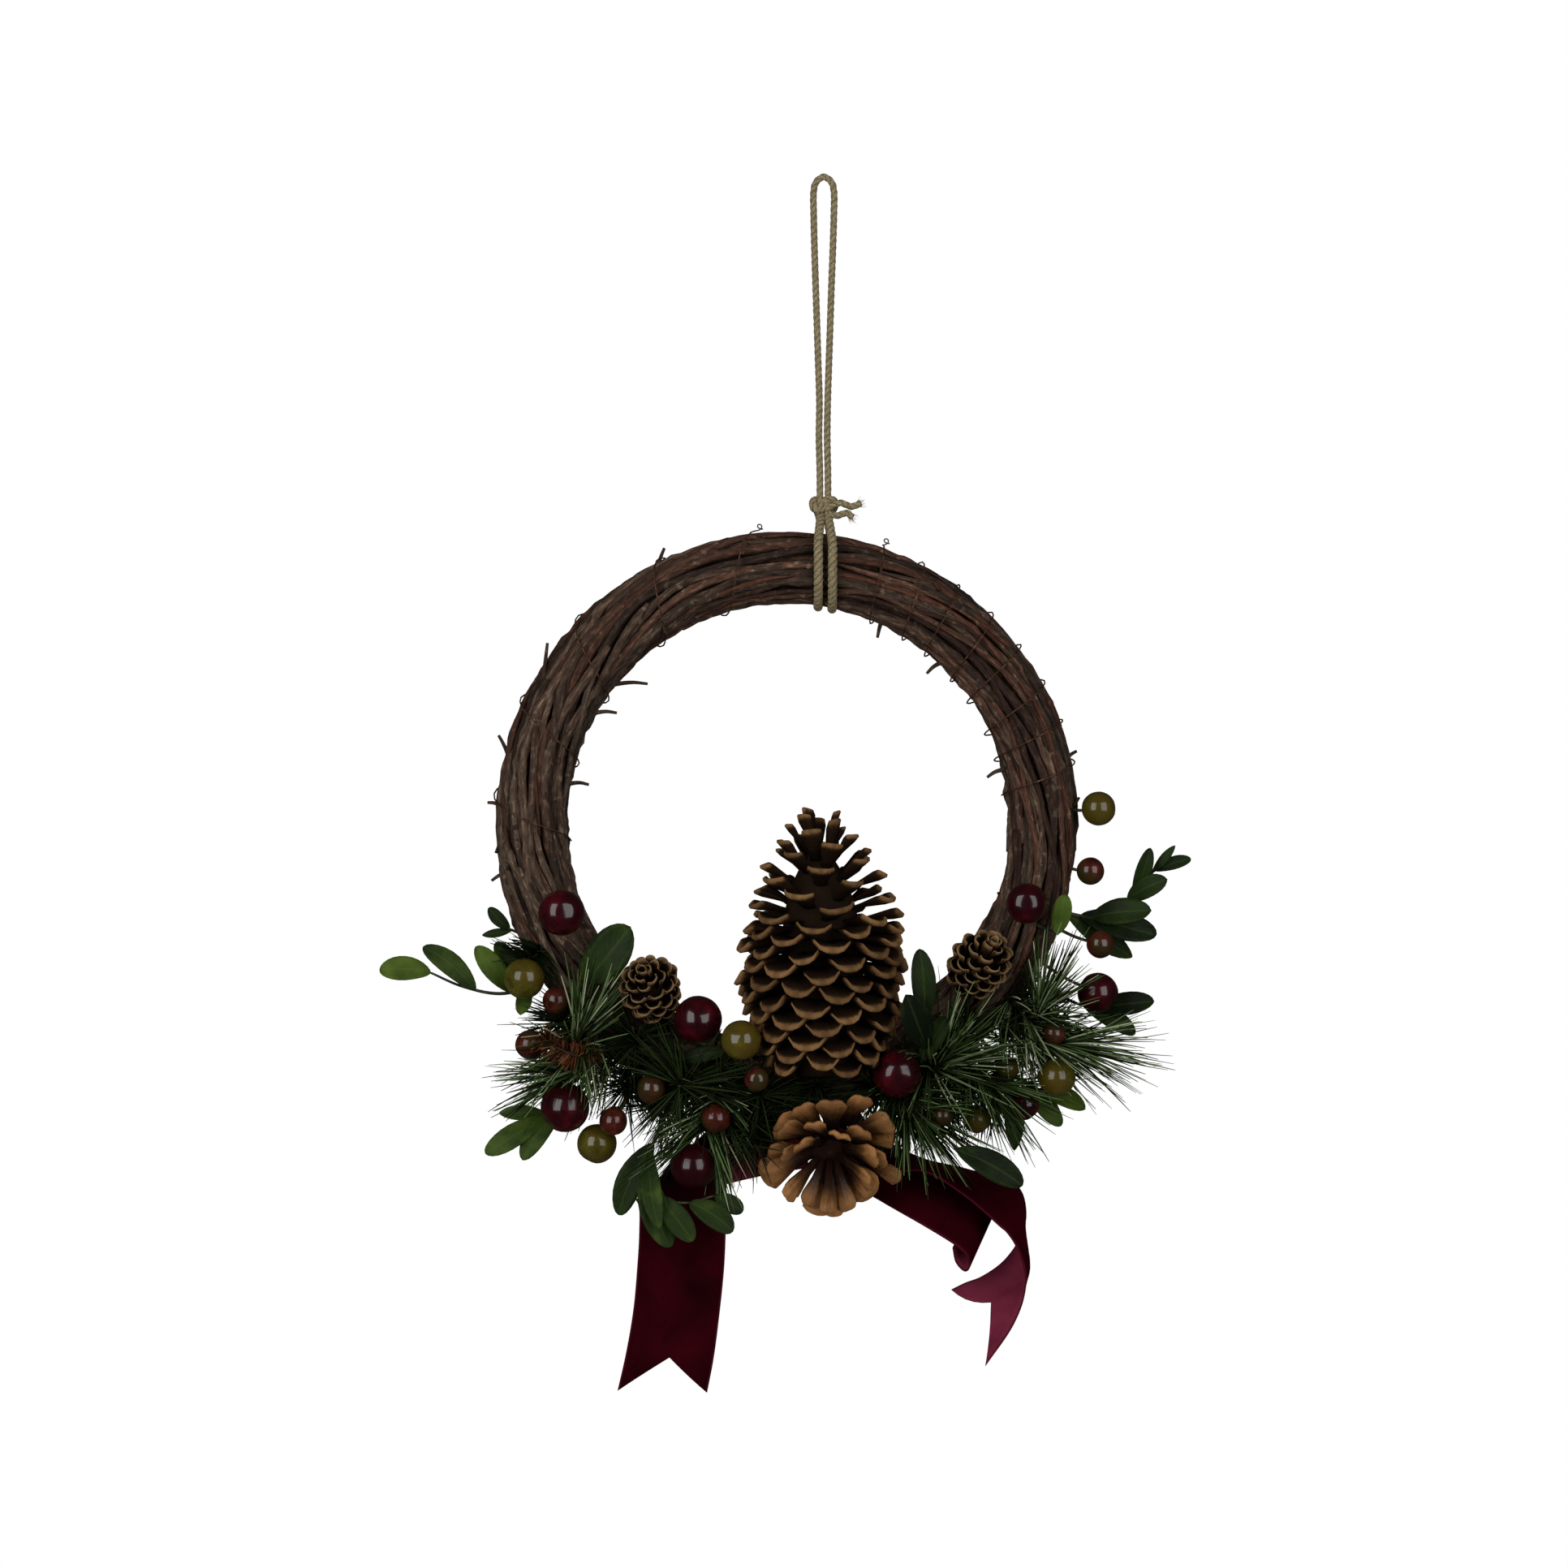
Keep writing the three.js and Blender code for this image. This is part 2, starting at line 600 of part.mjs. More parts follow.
// Berries: the middle, how far it stands in front, the radius, and where the wire is seated on
// the ring. Without a seat the wire runs the shortest way.
const BERRIES = [
  ['red_berry_1', [-112.5, 29, -317.5], 9.9, redBerry],
  ['red_berry_2', [-54, 30, -363], 10.2, redBerry],
  ['red_berry_3', [86.5, 28.5, -313.5], 8.8, redBerry],
  ['red_berry_4', [31, 34, -386], 10.6, redBerry],
  ['red_berry_5', [118, 14, -352.5], 8.8, redBerry],
  ['red_berry_6', [-111.5, 19, -401.5], 10.6, redBerry],
  ['red_berry_7', [-56, 30, -426], 9.9, redBerry, [252, 70]],
  ['red_berry_8', [86.5, 10, -401], 6.7, redBerry],
  ['olive_berry_1', [-129, 20, -346], 8.8, oliveBerry],
  ['olive_berry_2', [-35.5, 45, -371], 8.5, oliveBerry, [265, 95]],
  ['olive_berry_3', [-98, 14, -417.5], 8.5, oliveBerry],
  ['olive_berry_4', [118.7, 10, -273], 7.4, oliveBerry],
  ['olive_berry_5', [99.5, 26, -388], 8.1, oliveBerry],
  ['olive_berry_6', [65.8, 14, -407], 6, oliveBerry],
  ['olive_berry_7', [79, 14, -385], 5.3, oliveBerry],
  ['brown_berry_1', [-115, 22, -355.5], 6, brownBerry],
  ['brown_berry_2', [-127, 12, -375], 6.4, brownBerry],
  ['brown_berry_3', [-90.5, 24, -407], 6, brownBerry],
  ['brown_berry_4', [-74, 28, -393], 6.4, brownBerry],
  ['brown_berry_5', [-29, 40, -388], 5.3, brownBerry],
  ['brown_berry_6', [-46.5, 34, -405], 6.4, brownBerry],
  ['brown_berry_7', [115, 12, -300], 6, brownBerry],
  ['brown_berry_8', [119, 16, -331.5], 6, brownBerry],
  ['brown_berry_9', [98.5, 24, -369.5], 4.9, brownBerry],
  ['brown_berry_10', [50.5, 32, -404], 4.6, brownBerry],
];

// A wire that would cross a neighbour is seated a little further round.
const SEAT_SHIFTS = [0, 2.5, -2.5, 5, -5, 7.5, -7.5, 10, -10, 13, -13];

function nearestSeat(place) {
  const angle = Math.atan2(place.z - RING_Z, place.x - RING_X);
  const across = Math.hypot(place.x - RING_X, place.z - RING_Z) - RING_RADIUS;
  return [degrees(angle), degrees(Math.atan2(-place.y, across))];
}

function wireSeat(name, place, [angle, side]) {
  const seats = SEAT_SHIFTS.map((shift) => seat(angle + shift, side));
  return seats.find((root) => !isHit(name, place, root, BERRY_WIRE_RADIUS)) ?? seats[0];
}

function berry([name, middle, radius, material, given]) {
  const place = at(...middle);
  const root = wireSeat(name, place, given ?? nearestSeat(place));
  const ball = radius > 8
    ? new THREE.IcosahedronGeometry(radius, 1)
    : new THREE.SphereGeometry(radius, 6, 4);
  ball.translate(place.x, place.y, place.z);
  take(name, place, place, radius);
  take(name, place, root, BERRY_WIRE_RADIUS);
  const wire = rodGeometry(root, place, BERRY_WIRE_RADIUS, 3);
  addPiece(name, geometryOf(seated(fuse([ball, wire]))), material);
}

BERRIES.forEach(berry);

// Leafy sprigs: a stem from its seat through a few points, and leaves by their place along the
// stem, their tip and their width.
const LEAFY_SPRIGS = [
  ['leafy_sprig_left', [213, 20], [[-138.5, 9, -353], [-156, 10, -350], [-170, 10, -344]], [
    [1, [-192, 12, -343], 11], [0.62, [-173, 14, -332.5], 10], [0.32, [-150.5, 13, -332.5], 10],
    [0.26, [-142, 3, -331], 9], [0.2, [-131, 15, -362], 7]]],
  ['leafy_sprig_left_top', [203, 10], [[-137, 6, -325]], [
    [0.9, [-145.3, 8, -316], 6], [0.7, [-148, 4, -328], 4]]],
  ['leafy_sprig_lower_left', [232, 10], [[-108, 1, -396], [-116, 2, -405], [-122, 4, -407]], [
    [1, [-146.5, 8, -422.5], 10.5], [0.8, [-130.5, 10, -425], 10], [0.92, [-141, 1, -405.5], 7]]],
  ['oval_leaf_left', [218.5, 80], [[-103, 21, -348]], [[0.95, [-83, 26, -323.5], 19]]],
  ['dark_leaf_centre', [246, 85], [[-62, 24, -381]], [[0.95, [-42.5, 27, -377], 7.5]]],
  ['leafy_sprig_bottom', [246, 40],
    [[-70, 21, -410], [-77, 28, -425], [-73, 33, -437], [-60, 35, -441], [-47, 34, -438]], [
      [0.38, [-88, 27, -447], 12], [0.54, [-66, 36, -460], 13], [0.42, [-70, 43, -452], 9],
      [0.7, [-56, 39, -457], 11], [0.86, [-39, 37, -453], 11],
      [1, [-35, 32, -445], 8]]],
  ['leafy_sprig_inner_right', [298, 88], [[41, 30, -382], [43, 40, -372], [42, 46, -362]], [
    [0.98, [40, 50, -332], 10.5], [0.68, [34, 58, -351], 13], [0.5, [52, 42, -361], 9]]],
  ['small_leaf_right', [338, 70], [[100.5, 20, -327]], [[0.95, [103.5, 24, -309.5], 8.5]]],
  ['leafy_sprig_upper_right', [342, 10], [[118, 4, -320], [130, 4, -314], [138, 5, -306],
    [143, 6, -300]], [
    [0.74, [141, 12, -290], 7], [0.96, [152, 8, -289], 4], [1, [159, 6, -295], 6],
    [0.66, [148, 14, -303.5], 10], [0.3, [141, 16, -317], 12], [0.2, [144, 6, -328], 13],
    [0.05, [134, -4, -338], 11]]],
  ['leafy_pair_right', [328, 5], [[108, 0, -357], [122, 0, -361]], [
    [0.9, [143, 8, -356.5], 10.5], [0.75, [135, 4, -371], 9]]],
  ['leafy_sprig_lower_right', [312, -8], [[82, -3, -389], [93, -2, -396]], [
    [1, [113, 10, -403], 9], [0.85, [103, 2, -411], 9], [0.6, [83, -5, -422], 9]]],
  ['long_leaf_lower_right', [296, 30], [[48, 22, -408], [56, 38, -418]], [
    [1, [84, 42, -433], 12.5]]],
];

// A leaf from its root to its tip: pointed, widest before the middle, creased along the rib.
function leafGeometry(root, tip, width) {
  const length = root.distanceTo(tip);
  const onward = tip.clone().sub(root).normalize();
  const facing = VIEWER.clone().addScaledVector(UP, 0.35);
  facing.addScaledVector(onward, -facing.dot(onward)).normalize();
  const across = facing.clone().cross(onward);
  const stations = [[0, 0], [0.36, 0.47], [0.74, 0.42], [1, 0]];
  const rows = stations.map(([share, half]) => {
    const sides = half > 0 ? [-1, 0, 1] : [0];
    const arch = 0.09 * length * 4 * share * (1 - share);
    return sides.map((side) => root.clone()
      .addScaledVector(onward, share * length)
      .addScaledVector(across, side * half * width)
      .addScaledVector(facing, arch + 0.1 * width * side * side));
  });
  const half = facing.clone().multiplyScalar(LEAF_THICKNESS / 2);
  return { geometry: sheetGeometry(rows, () => half), onward, across, facing, length };
}

function leafBars(root, { onward, across, facing, length }, width) {
  const line = (side, from, to) => {
    const start = root.clone().addScaledVector(onward, from * length);
    const end = root.clone().addScaledVector(onward, to * length);
    const shift = across.clone().multiplyScalar(side * width).addScaledVector(facing, 0.06 * length);
    return [start.add(shift), end.add(shift)];
  };
  return [line(0, 0.2, 1), line(-0.2, 0.2, 0.9), line(0.2, 0.2, 0.9), line(-0.4, 0.3, 0.75),
    line(0.4, 0.3, 0.75)];
}

// Each leaf is bent towards the viewer or away, as far as it has to be to clear its neighbours.
const LEAF_BENDS = [0, 3, -3, 6, -6, 9, -9, 12, -12, 16, -16, 20, 25];

function placedLeaf(name, root, tip, width) {
  for (const bend of LEAF_BENDS) {
    const bentTip = tip.clone().addScaledVector(VIEWER, bend);
    const leaf = leafGeometry(root, bentTip, width);
    const bars = leafBars(root, leaf, width);
    if (bars.every(([from, to]) => isClear(name, from, to, 1.3))) {
      bars.forEach(([from, to]) => take(name, from, to, 1.1));
      return leaf.geometry;
    }
  }
  return null;
}

function leafySprig([name, root, stem, leaves]) {
  const path = [seat(...root), ...points(stem)];
  const curve = new THREE.CatmullRomCurve3(path);
  const steps = 2 * (path.length - 1);
  const pieces = [barGeometry(path, STEM_RADIUS, 3, steps)];
  for (let step = 0; step < steps; step += 1) {
    take(name, curve.getPointAt(step / steps), curve.getPointAt((step + 1) / steps), STEM_RADIUS);
  }
  leaves.forEach(([share, tip, width]) => {
    const leaf = placedLeaf(name, curve.getPointAt(share), at(...tip), width);
    if (leaf) pieces.push(leaf);
  });
  addPiece(name, geometryOf(seated(fuse(pieces))), leafGreen);
}

LEAFY_SPRIGS.forEach(leafySprig);

function needleDirection(onward, angle, around) {
  const side = new THREE.Vector3().crossVectors(onward, UP).normalize();
  const over = new THREE.Vector3().crossVectors(side, onward);
  return onward.clone().multiplyScalar(Math.cos(angle))
    .addScaledVector(side, Math.sin(angle) * Math.cos(around))
    .addScaledVector(over, Math.sin(angle) * Math.sin(around));
}

function placedNeedles(name, curve, { count, length, opening, seed, radius, from }) {
  const random = seededRandom(seed);
  const needles = [];
  for (let i = 0; i < count; i += 1) {
    const share = lerp(from, 1, i / (count - 1));
    const middle = curve.getPointAt(share);
    const onward = curve.getTangentAt(share);
    for (let draw = 0; draw < 24; draw += 1) {
      const open = radians(lerp(opening[1], opening[0], share * random()));
      const around = i * GOLDEN_ANGLE + draw * random() * 0.5;
      const reach = length * lerp(0.82, 1.08, random());
      const direction = needleDirection(onward, open, around);
      const outward = needleDirection(onward, Math.PI / 2, around);
      const root = middle.clone().addScaledVector(outward, 0.7 * SPINE_RADIUS);
      const tip = root.clone().addScaledVector(direction, reach);
      const start = root.clone().addScaledVector(direction, 2);
      const crossed = needles.some(([a, b]) => distanceBetween(start, tip, a, b) < 1.8 * radius);
      if (!crossed && isClear(name, start, tip, radius)) {
        needles.push([root, tip]);
        break;
      }
    }
  }
  needles.forEach(([a, b]) => take(name, a, b, radius));
  return needles.map(([a, b]) => spikeGeometry(a, b, radius));
}

SPRAYS.forEach(([name, , , count, length, opening, seed], number) => {
  const { path, curve } = sprayCurves[number];
  const rule = { count, length, opening, seed, radius: NEEDLE_RADIUS, from: 0.42 };
  const needles = placedNeedles(name, curve, rule);
  const spine = barGeometry(path, SPINE_RADIUS, 3, 4);
  addPiece(name, geometryOf(seated(fuse([spine, ...needles]))), pineGreen);
});

function rustSprig() {
  const { path, curve } = rustCurve;
  const rule = { count: 22, length: 7, opening: [50, 80], seed: 23, radius: 0.5, from: 0.35 };
  const bristles = placedNeedles('rust_sprig', curve, rule);
  return seated(fuse([barGeometry(path, SPINE_RADIUS, 3, 4), ...bristles]));
}

addPiece('rust_sprig', geometryOf(rustSprig()), rustBrown);

export default wreath;
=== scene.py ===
# %% [markdown]
# # A pinecone wreath
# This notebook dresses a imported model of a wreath: a ring of wired twigs on a loop of jute twine,
# with pine cones, needle sprays, leafy sprigs, lacquered berries and a velvet ribbon. The packed
# model is the frame. It says where each piece goes, and every piece made here stands for one of
# its solids and stays in that solid's place, with the finer shape and finish of the real one.

# %% Load the frame
import functools
import math
import random

import bmesh
import bpy
from mathutils import Matrix, Vector, noise
from mathutils.bvhtree import BVHTree


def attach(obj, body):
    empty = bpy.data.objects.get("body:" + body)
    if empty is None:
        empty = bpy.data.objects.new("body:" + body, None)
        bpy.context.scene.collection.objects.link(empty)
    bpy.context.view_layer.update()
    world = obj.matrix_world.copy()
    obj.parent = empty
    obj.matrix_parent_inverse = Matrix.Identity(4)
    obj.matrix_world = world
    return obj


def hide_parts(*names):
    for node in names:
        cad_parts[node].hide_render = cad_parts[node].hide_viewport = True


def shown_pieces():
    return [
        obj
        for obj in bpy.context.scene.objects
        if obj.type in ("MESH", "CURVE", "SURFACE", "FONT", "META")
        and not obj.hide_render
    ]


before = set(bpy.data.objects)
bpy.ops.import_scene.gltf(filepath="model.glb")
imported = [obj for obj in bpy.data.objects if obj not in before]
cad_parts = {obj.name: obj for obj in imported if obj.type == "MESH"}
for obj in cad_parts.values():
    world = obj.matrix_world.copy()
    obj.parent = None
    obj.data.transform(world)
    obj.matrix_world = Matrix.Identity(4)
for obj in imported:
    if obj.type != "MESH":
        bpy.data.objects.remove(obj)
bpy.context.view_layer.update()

MM = 0.001
print("solids in the frame:", len(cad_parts))

# %% [markdown]
# The model is laid out in millimetres: to the right, towards the viewer, and up, from the point
# where the twine loop bears on its hook. Blender works in metres, and its -Y faces the viewer, so
# one function turns the first into the second and every list below stays in plain millimetres.

# %% Places and objects
def at(x, front, z):
    return Vector((x, -front, z)) * MM


def places(rows):
    return [at(*row) for row in rows]


def new_object(name, data):
    made = bpy.data.objects.new(name, data)
    bpy.context.scene.collection.objects.link(made)
    return made


print("the foot of the large cone is at", tuple(round(v, 4) for v in at(0.5, 29, -393)))

# %% [markdown]
# The photograph was taken straight on from far enough away that both sides of the ring look alike.
# A long lens does that. The frame is 1932 pixels wide and the ring's 254 mm take up 720 of them,
# so the whole frame is 681.5 mm wide at the wreath, and the lens follows from that and from the
# distance. The camera looks along +Y, level, at the middle of the frame.

# %% Camera
PIXELS_PER_MM = 720 / 254
FRAME_WIDTH = 1932 / PIXELS_PER_MM * MM
DISTANCE = 1.8
lens_data = bpy.data.cameras.new("camera")
lens_data.sensor_width = 36
lens_data.lens = lens_data.sensor_width * DISTANCE / FRAME_WIDTH
camera = new_object("camera", lens_data)
camera.location = (-0.0173, -DISTANCE, -0.2624)
camera.rotation_euler = (math.radians(90), 0, 0)
bpy.context.scene.camera = camera
print("lens", round(lens_data.lens, 1), "mm")

# %% [markdown]
# Twigs, twine, wires and stems all follow curves. A Catmull-Rom curve passes through every point
# that it is given, and its centripetal kind doesn't overshoot where points lie close together.
# The curve is walked in equal steps, so that a twist or a pattern along it stays even.

# %% Smooth paths
SPAN_STEPS = 12


def curve_through(points, closed=False):
    """Returns a fine line on a smooth curve through the given points."""
    if closed:
        knots = [points[-1], *points, points[0], points[1]]
    else:
        knots = [2 * points[0] - points[1], *points, 2 * points[-1] - points[-2]]
    fine = []
    for a, b, c, d in zip(knots, knots[1:], knots[2:], knots[3:]):
        ab, bc, cd = ((q - p).length ** 0.5 for p, q in ((a, b), (b, c), (c, d)))
        leave = ((b - a) / ab - (c - a) / (ab + bc) + (c - b) / bc) * bc
        arrive = ((c - b) / bc - (d - b) / (bc + cd) + (d - c) / cd) * bc
        for step in range(SPAN_STEPS):
            t = step / SPAN_STEPS
            fine.append(b * (2 * t**3 - 3 * t**2 + 1) + leave * (t**3 - 2 * t**2 + t)
                        + c * (3 * t**2 - 2 * t**3) + arrive * (t**3 - t**2))
    fine.append(knots[-2].copy())
    return fine


def reaches(path):
    """Returns how far along a path each of its points lies."""
    reach = [0.0]
    for a, b in zip(path, path[1:]):
        reach.append(reach[-1] + (b - a).length)
    return reach


def length_of(path):
    return reaches(path)[-1]


def spline(points, count, closed=False):
    """Returns count + 1 points in equal steps on a smooth curve through the given points."""
    fine = curve_through(points, closed)
    reach = reaches(fine)
    path = []
    spot = 0
    for step in range(count + 1):
        goal = reach[-1] * step / count
        while spot < len(fine) - 2 and reach[spot + 1] < goal:
            spot += 1
        span = reach[spot + 1] - reach[spot]
        path.append(fine[spot].lerp(fine[spot + 1], (goal - reach[spot]) / span if span else 0))
    return path


# %% Frames along a path
def frames_along(path, closed=False):
    """Returns a point, a side and a second side for each point of a path, without sudden turns."""
    count = len(path)
    onward = []
    for i in range(count):
        before = path[(i - 1) % (count - 1)] if closed else path[max(i - 1, 0)]
        after = path[(i + 1) % (count - 1)] if closed else path[min(i + 1, count - 1)]
        onward.append((after - before).normalized())
    side = onward[0].orthogonal().normalized()
    frames = []
    for i in range(count):
        if i:
            side = onward[i - 1].rotation_difference(onward[i]) @ side
        side = (side - onward[i] * side.dot(onward[i])).normalized()
        frames.append((path[i], side, onward[i].cross(side)))
    return frames


print("checked on a straight path:", frames_along([at(0, 0, 0), at(0, 0, 1)])[0][1][:])

# %% [markdown]
# A real wreath has hundreds of twigs, scales, needles and leaves, and all of one kind share a
# shape. So each kind gets one template, made with bmesh operators, and each copy is stamped into
# its piece and bent to its own place. Every copy carries three numbers for its material: how far
# along it a point lies, how far across it, and a tone of its own, so that no two look cast from
# one mould.

# %% Templates and stamping
LAYERS = ("along", "across", "tone")


def to_mesh(name, bm):
    mesh = bpy.data.meshes.new(name)
    bm.to_mesh(mesh)
    bm.free()
    return mesh


@functools.cache
def rod_template(sides, steps):
    """A closed rod of radius 1 from z = 0 to z = 1, ringed by steps."""
    bm = bmesh.new()
    bmesh.ops.create_cone(bm, cap_ends=True, segments=sides, radius1=1, radius2=1, depth=1)
    bmesh.ops.translate(bm, verts=bm.verts, vec=(0, 0, 0.5))
    long_edges = [e for e in bm.edges if abs(e.verts[0].co.z - e.verts[1].co.z) > 0.5]
    bmesh.ops.subdivide_edges(bm, edges=long_edges, cuts=steps - 1, use_grid_fill=True)
    return to_mesh(f"rod_{sides}_{steps}", bm)


def new_piece():
    bm = bmesh.new()
    for layer in LAYERS:
        bm.verts.layers.float.new(layer)
    return bm


def stamp(bm, shape, place, tone=0.0):
    """Adds a copy of a template. place() turns a template point into (point, along, across)."""
    first = len(bm.verts)
    bm.from_mesh(shape)
    bm.verts.ensure_lookup_table()
    layers = [bm.verts.layers.float[name] for name in LAYERS]
    for vert in bm.verts[first:]:
        point, along, across = place(vert.co.copy())
        vert.co = point
        for layer, value in zip(layers, (along, across, tone)):
            vert[layer] = value


def stamp_rod(bm, path, radius, sides=6, tone=0.0, closed=False, turns=0, section=None):
    """Adds a rod along a path. radius() turns a share of the way into a radius in metres.

    The rod twists by so many turns, and section() turns an angle in it into a share of the radius.
    """
    steps = len(path) - 1
    frames = frames_along(path, closed)
    total = length_of(path)

    def place(point):
        share = min(max(point.z, 0), 1)
        middle, side, other = frames[round(share * steps)]
        angle = math.atan2(point.y, point.x) - share * turns * math.tau
        thick = radius(share) * (section(angle) if section else 1)
        offset = (side * point.x + other * point.y) * thick
        return middle + offset, share * total / MM, angle / math.tau

    stamp(bm, rod_template(sides, steps), place, tone)


# %% Finishing a piece
def finish_piece(name, bm, materials, nodes):
    bm.normal_update()
    mesh = to_mesh(name, bm)
    for material in materials:
        mesh.materials.append(material)
    mesh.shade_smooth()
    piece = new_object(name, mesh)
    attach(piece, "root")
    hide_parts(*nodes)
    return piece


print("helpers are ready")

# %% [markdown]
# Every finish is a node material. One function adds a node with its settings and links, and one
# turns the usual hex colours, which are sRGB, into the linear numbers that the shader works with.
# Most finishes end alike: flecks of one colour over another, and a colour and a relief that go to
# the shader. Those steps have functions too.

# %% Material helpers
def colour(hex_text):
    channels = [int(hex_text[i:i + 2], 16) / 255 for i in (0, 2, 4)]
    return (*[c / 12.92 if c <= 0.04045 else ((c + 0.055) / 1.055) ** 2.4 for c in channels], 1)


# The output that is wanted, where it isn't the first: a number, a colour, a place on the piece
MAIN_OUTPUT = {"Attribute": 2, "Mix": 2, "TexCoord": 3}


def add(material, kind, inputs=None, stops=None, **settings):
    """Adds a node and returns its main output. An input is a value, or an output to link."""
    made = material.node_tree.nodes.new("ShaderNode" + kind)
    for name, value in settings.items():
        setattr(made, name, value)
    for key, value in (inputs or {}).items():
        if isinstance(value, bpy.types.NodeSocket):
            material.node_tree.links.new(value, made.inputs[key])
        else:
            made.inputs[key].default_value = value
    for number, (place, shade) in enumerate(stops or []):
        spots = made.color_ramp.elements
        spot = spots[number] if number < 2 else spots.new(place)
        spot.position = place
        spot.color = colour(shade)
    return made.outputs[MAIN_OUTPUT.get(kind, 0)]


def lay_over(material, under, mask, low, high, share, shade):
    """Lays a share of a colour over another where the mask has passed from low to high."""
    part = add(material, "MapRange", {"Value": mask, "From Min": low, "From Max": high,
                                      "To Max": share})
    return add(material, "Mix", {0: part, 6: under, 7: colour(shade)}, data_type="RGBA")


def new_material(name, **values):
    material = bpy.data.materials.new(name)
    material.use_nodes = True
    shader = material.node_tree.nodes["Principled BSDF"]
    for socket, value in values.items():
        shader.inputs[socket.replace("_", " ")].default_value = value
    return material


def dress(material, base, relief=None):
    """Links a colour, and a relief where there is one, to the material's shader."""
    shader = material.node_tree.nodes["Principled BSDF"]
    for socket, source in (("Base Color", base), ("Normal", relief)):
        if source is not None:
            material.node_tree.links.new(source, shader.inputs[socket])


def mottled(name, scale, stops, detail=2.0, **values):
    """Returns a material whose colour comes from one noise."""
    made = new_material(name, **values)
    spot = add(made, "TexCoord")
    spots = add(made, "TexNoise", {"Vector": spot, "Scale": scale, "Detail": detail})
    dress(made, add(made, "ValToRGB", {"Fac": spots}, stops))
    return made


print("white stays", colour("ffffff"))

# %% [markdown]
# ## Jute twine
# The wreath hangs by one length of jute twine, 3 mm thick, from the knot up over the hook and back.
# Jute twine is three plies laid together, so its section has three lobes that turn once in about
# every 9 mm. A plain tube would look like string of plastic. So a rod template is pressed into
# three lobes, and the lobes are turned along the way.

# %% Jute, spun from dry bast fibres: matte, with pale and dark fibres side by side
FIBRE = 0.5 * MM  # a bundle of fibres, drawn a little coarse so that it shows
jute = new_material("jute_twine", Roughness=0.95, Specular_IOR_Level=0.15)
spot = add(jute, "TexCoord")
along, ply = (add(jute, "Attribute", attribute_name=name) for name in LAYERS[:2])
lay = add(jute, "CombineXYZ", {"X": along, "Y": ply})
strands = add(jute, "VectorMath", {0: lay, 1: (0.25, 40.0, 1.0)}, operation="MULTIPLY")
streaks = add(jute, "TexNoise", {"Vector": strands, "Scale": 1.0, "Detail": 3.0})
fibres = add(jute, "TexNoise", {"Vector": spot, "Scale": 1 / FIBRE, "Detail": 2.0})
both = add(jute, "Math", {0: streaks, 1: fibres}, operation="MULTIPLY")
shade = add(jute, "ValToRGB", {"Fac": both}, [(0.12, "54492f"), (0.42, "c0b08c")])
# Dirt and shade darken the three grooves between the plies
turned = add(jute, "Math", {0: ply, 1: 1.5 * math.tau}, operation="MULTIPLY")
crest = add(jute, "Math", {0: turned}, operation="COSINE")
height = add(jute, "Math", {0: crest}, operation="ABSOLUTE")
groove = add(jute, "MapRange", {"Value": height, "From Max": 0.6, "To Min": 0.35})
grooved = add(jute, "Mix", {0: 1.0, 6: shade, 7: groove}, data_type="RGBA", blend_type="MULTIPLY")
raised = add(jute, "Bump", {"Height": both, "Strength": 0.8, "Distance": 0.3 * MM})
dress(jute, grooved, raised)

# %% A stretch of laid twine
TWINE_RADIUS = 1.5 * MM
LAY = 9 * MM
TWINE_SIDES = 15  # five to each ply


def three_lobes(angle):
    return 0.8 + 0.24 * abs(math.cos(1.5 * angle))


def stamp_twine(bm, path, closed=False, radius=TWINE_RADIUS):
    turns = length_of(path) / LAY
    stamp_rod(bm, path, lambda share: radius, TWINE_SIDES, closed=closed,
              turns=round(turns) if closed else turns, section=three_lobes)


# %% [markdown]
# The loop follows the same route as in the model, so its points are the model's own. It is the one
# part that bends freely, and its length is the length that its route has.

# %% The hanging loop
LOOP_ROUTE = places([
    (-1.7, 0, -138), (-1.7, 0.2, -128), (-2.1, 0.6, -112), (-1.9, 0, -96), (-2.4, -0.4, -80),
    (-3, 0, -62), (-3.6, 0.2, -44), (-4.1, 0.1, -28), (-4.4, 0, -14), (-4.4, 0, -5),
    (-3.4, 0, -0.9), (0, 0, 1.5),
    (3.4, 0, -0.9), (4.4, 0, -5), (4.4, 0, -14), (4, -0.1, -28), (3.4, -0.2, -44),
    (2.8, 0, -62), (2.2, 0.4, -80), (1.7, 0, -96), (1.5, -0.6, -112), (1.8, -0.2, -128),
    (1.8, 0, -138)])
loop_path = spline(LOOP_ROUTE, 380)
bm = new_piece()
stamp_twine(bm, loop_path)
hanging_loop = finish_piece("hanging_loop", bm, [jute], ["hanging_twine"])
print("the loop's twine is", round(length_of(loop_path) / MM), "mm long")

# %% [markdown]
# Two turns of the same twine go round the twigs and rise to a knot. A knot of one cord is a curve
# that passes through itself, and the simplest such curve, the trefoil, pulled small, reads as a
# tight overhand knot. The loop's two strands run on into it. The two cut ends fray, as loose jute
# does, into single fibres.

# %% Wraps, knot and frayed ends
RING_X = -16
RING_Z = -279.5
RING_RADIUS = 111
BUNDLE_RADIUS = 15.6
KNOT_Z = -144.5
LOOSE_RADIUS = 2 * MM  # where nothing pulls on it, the twine swells
WRAP_X = (-2.5, 3.6)
FRAYED = 16
chance = random.Random(5)


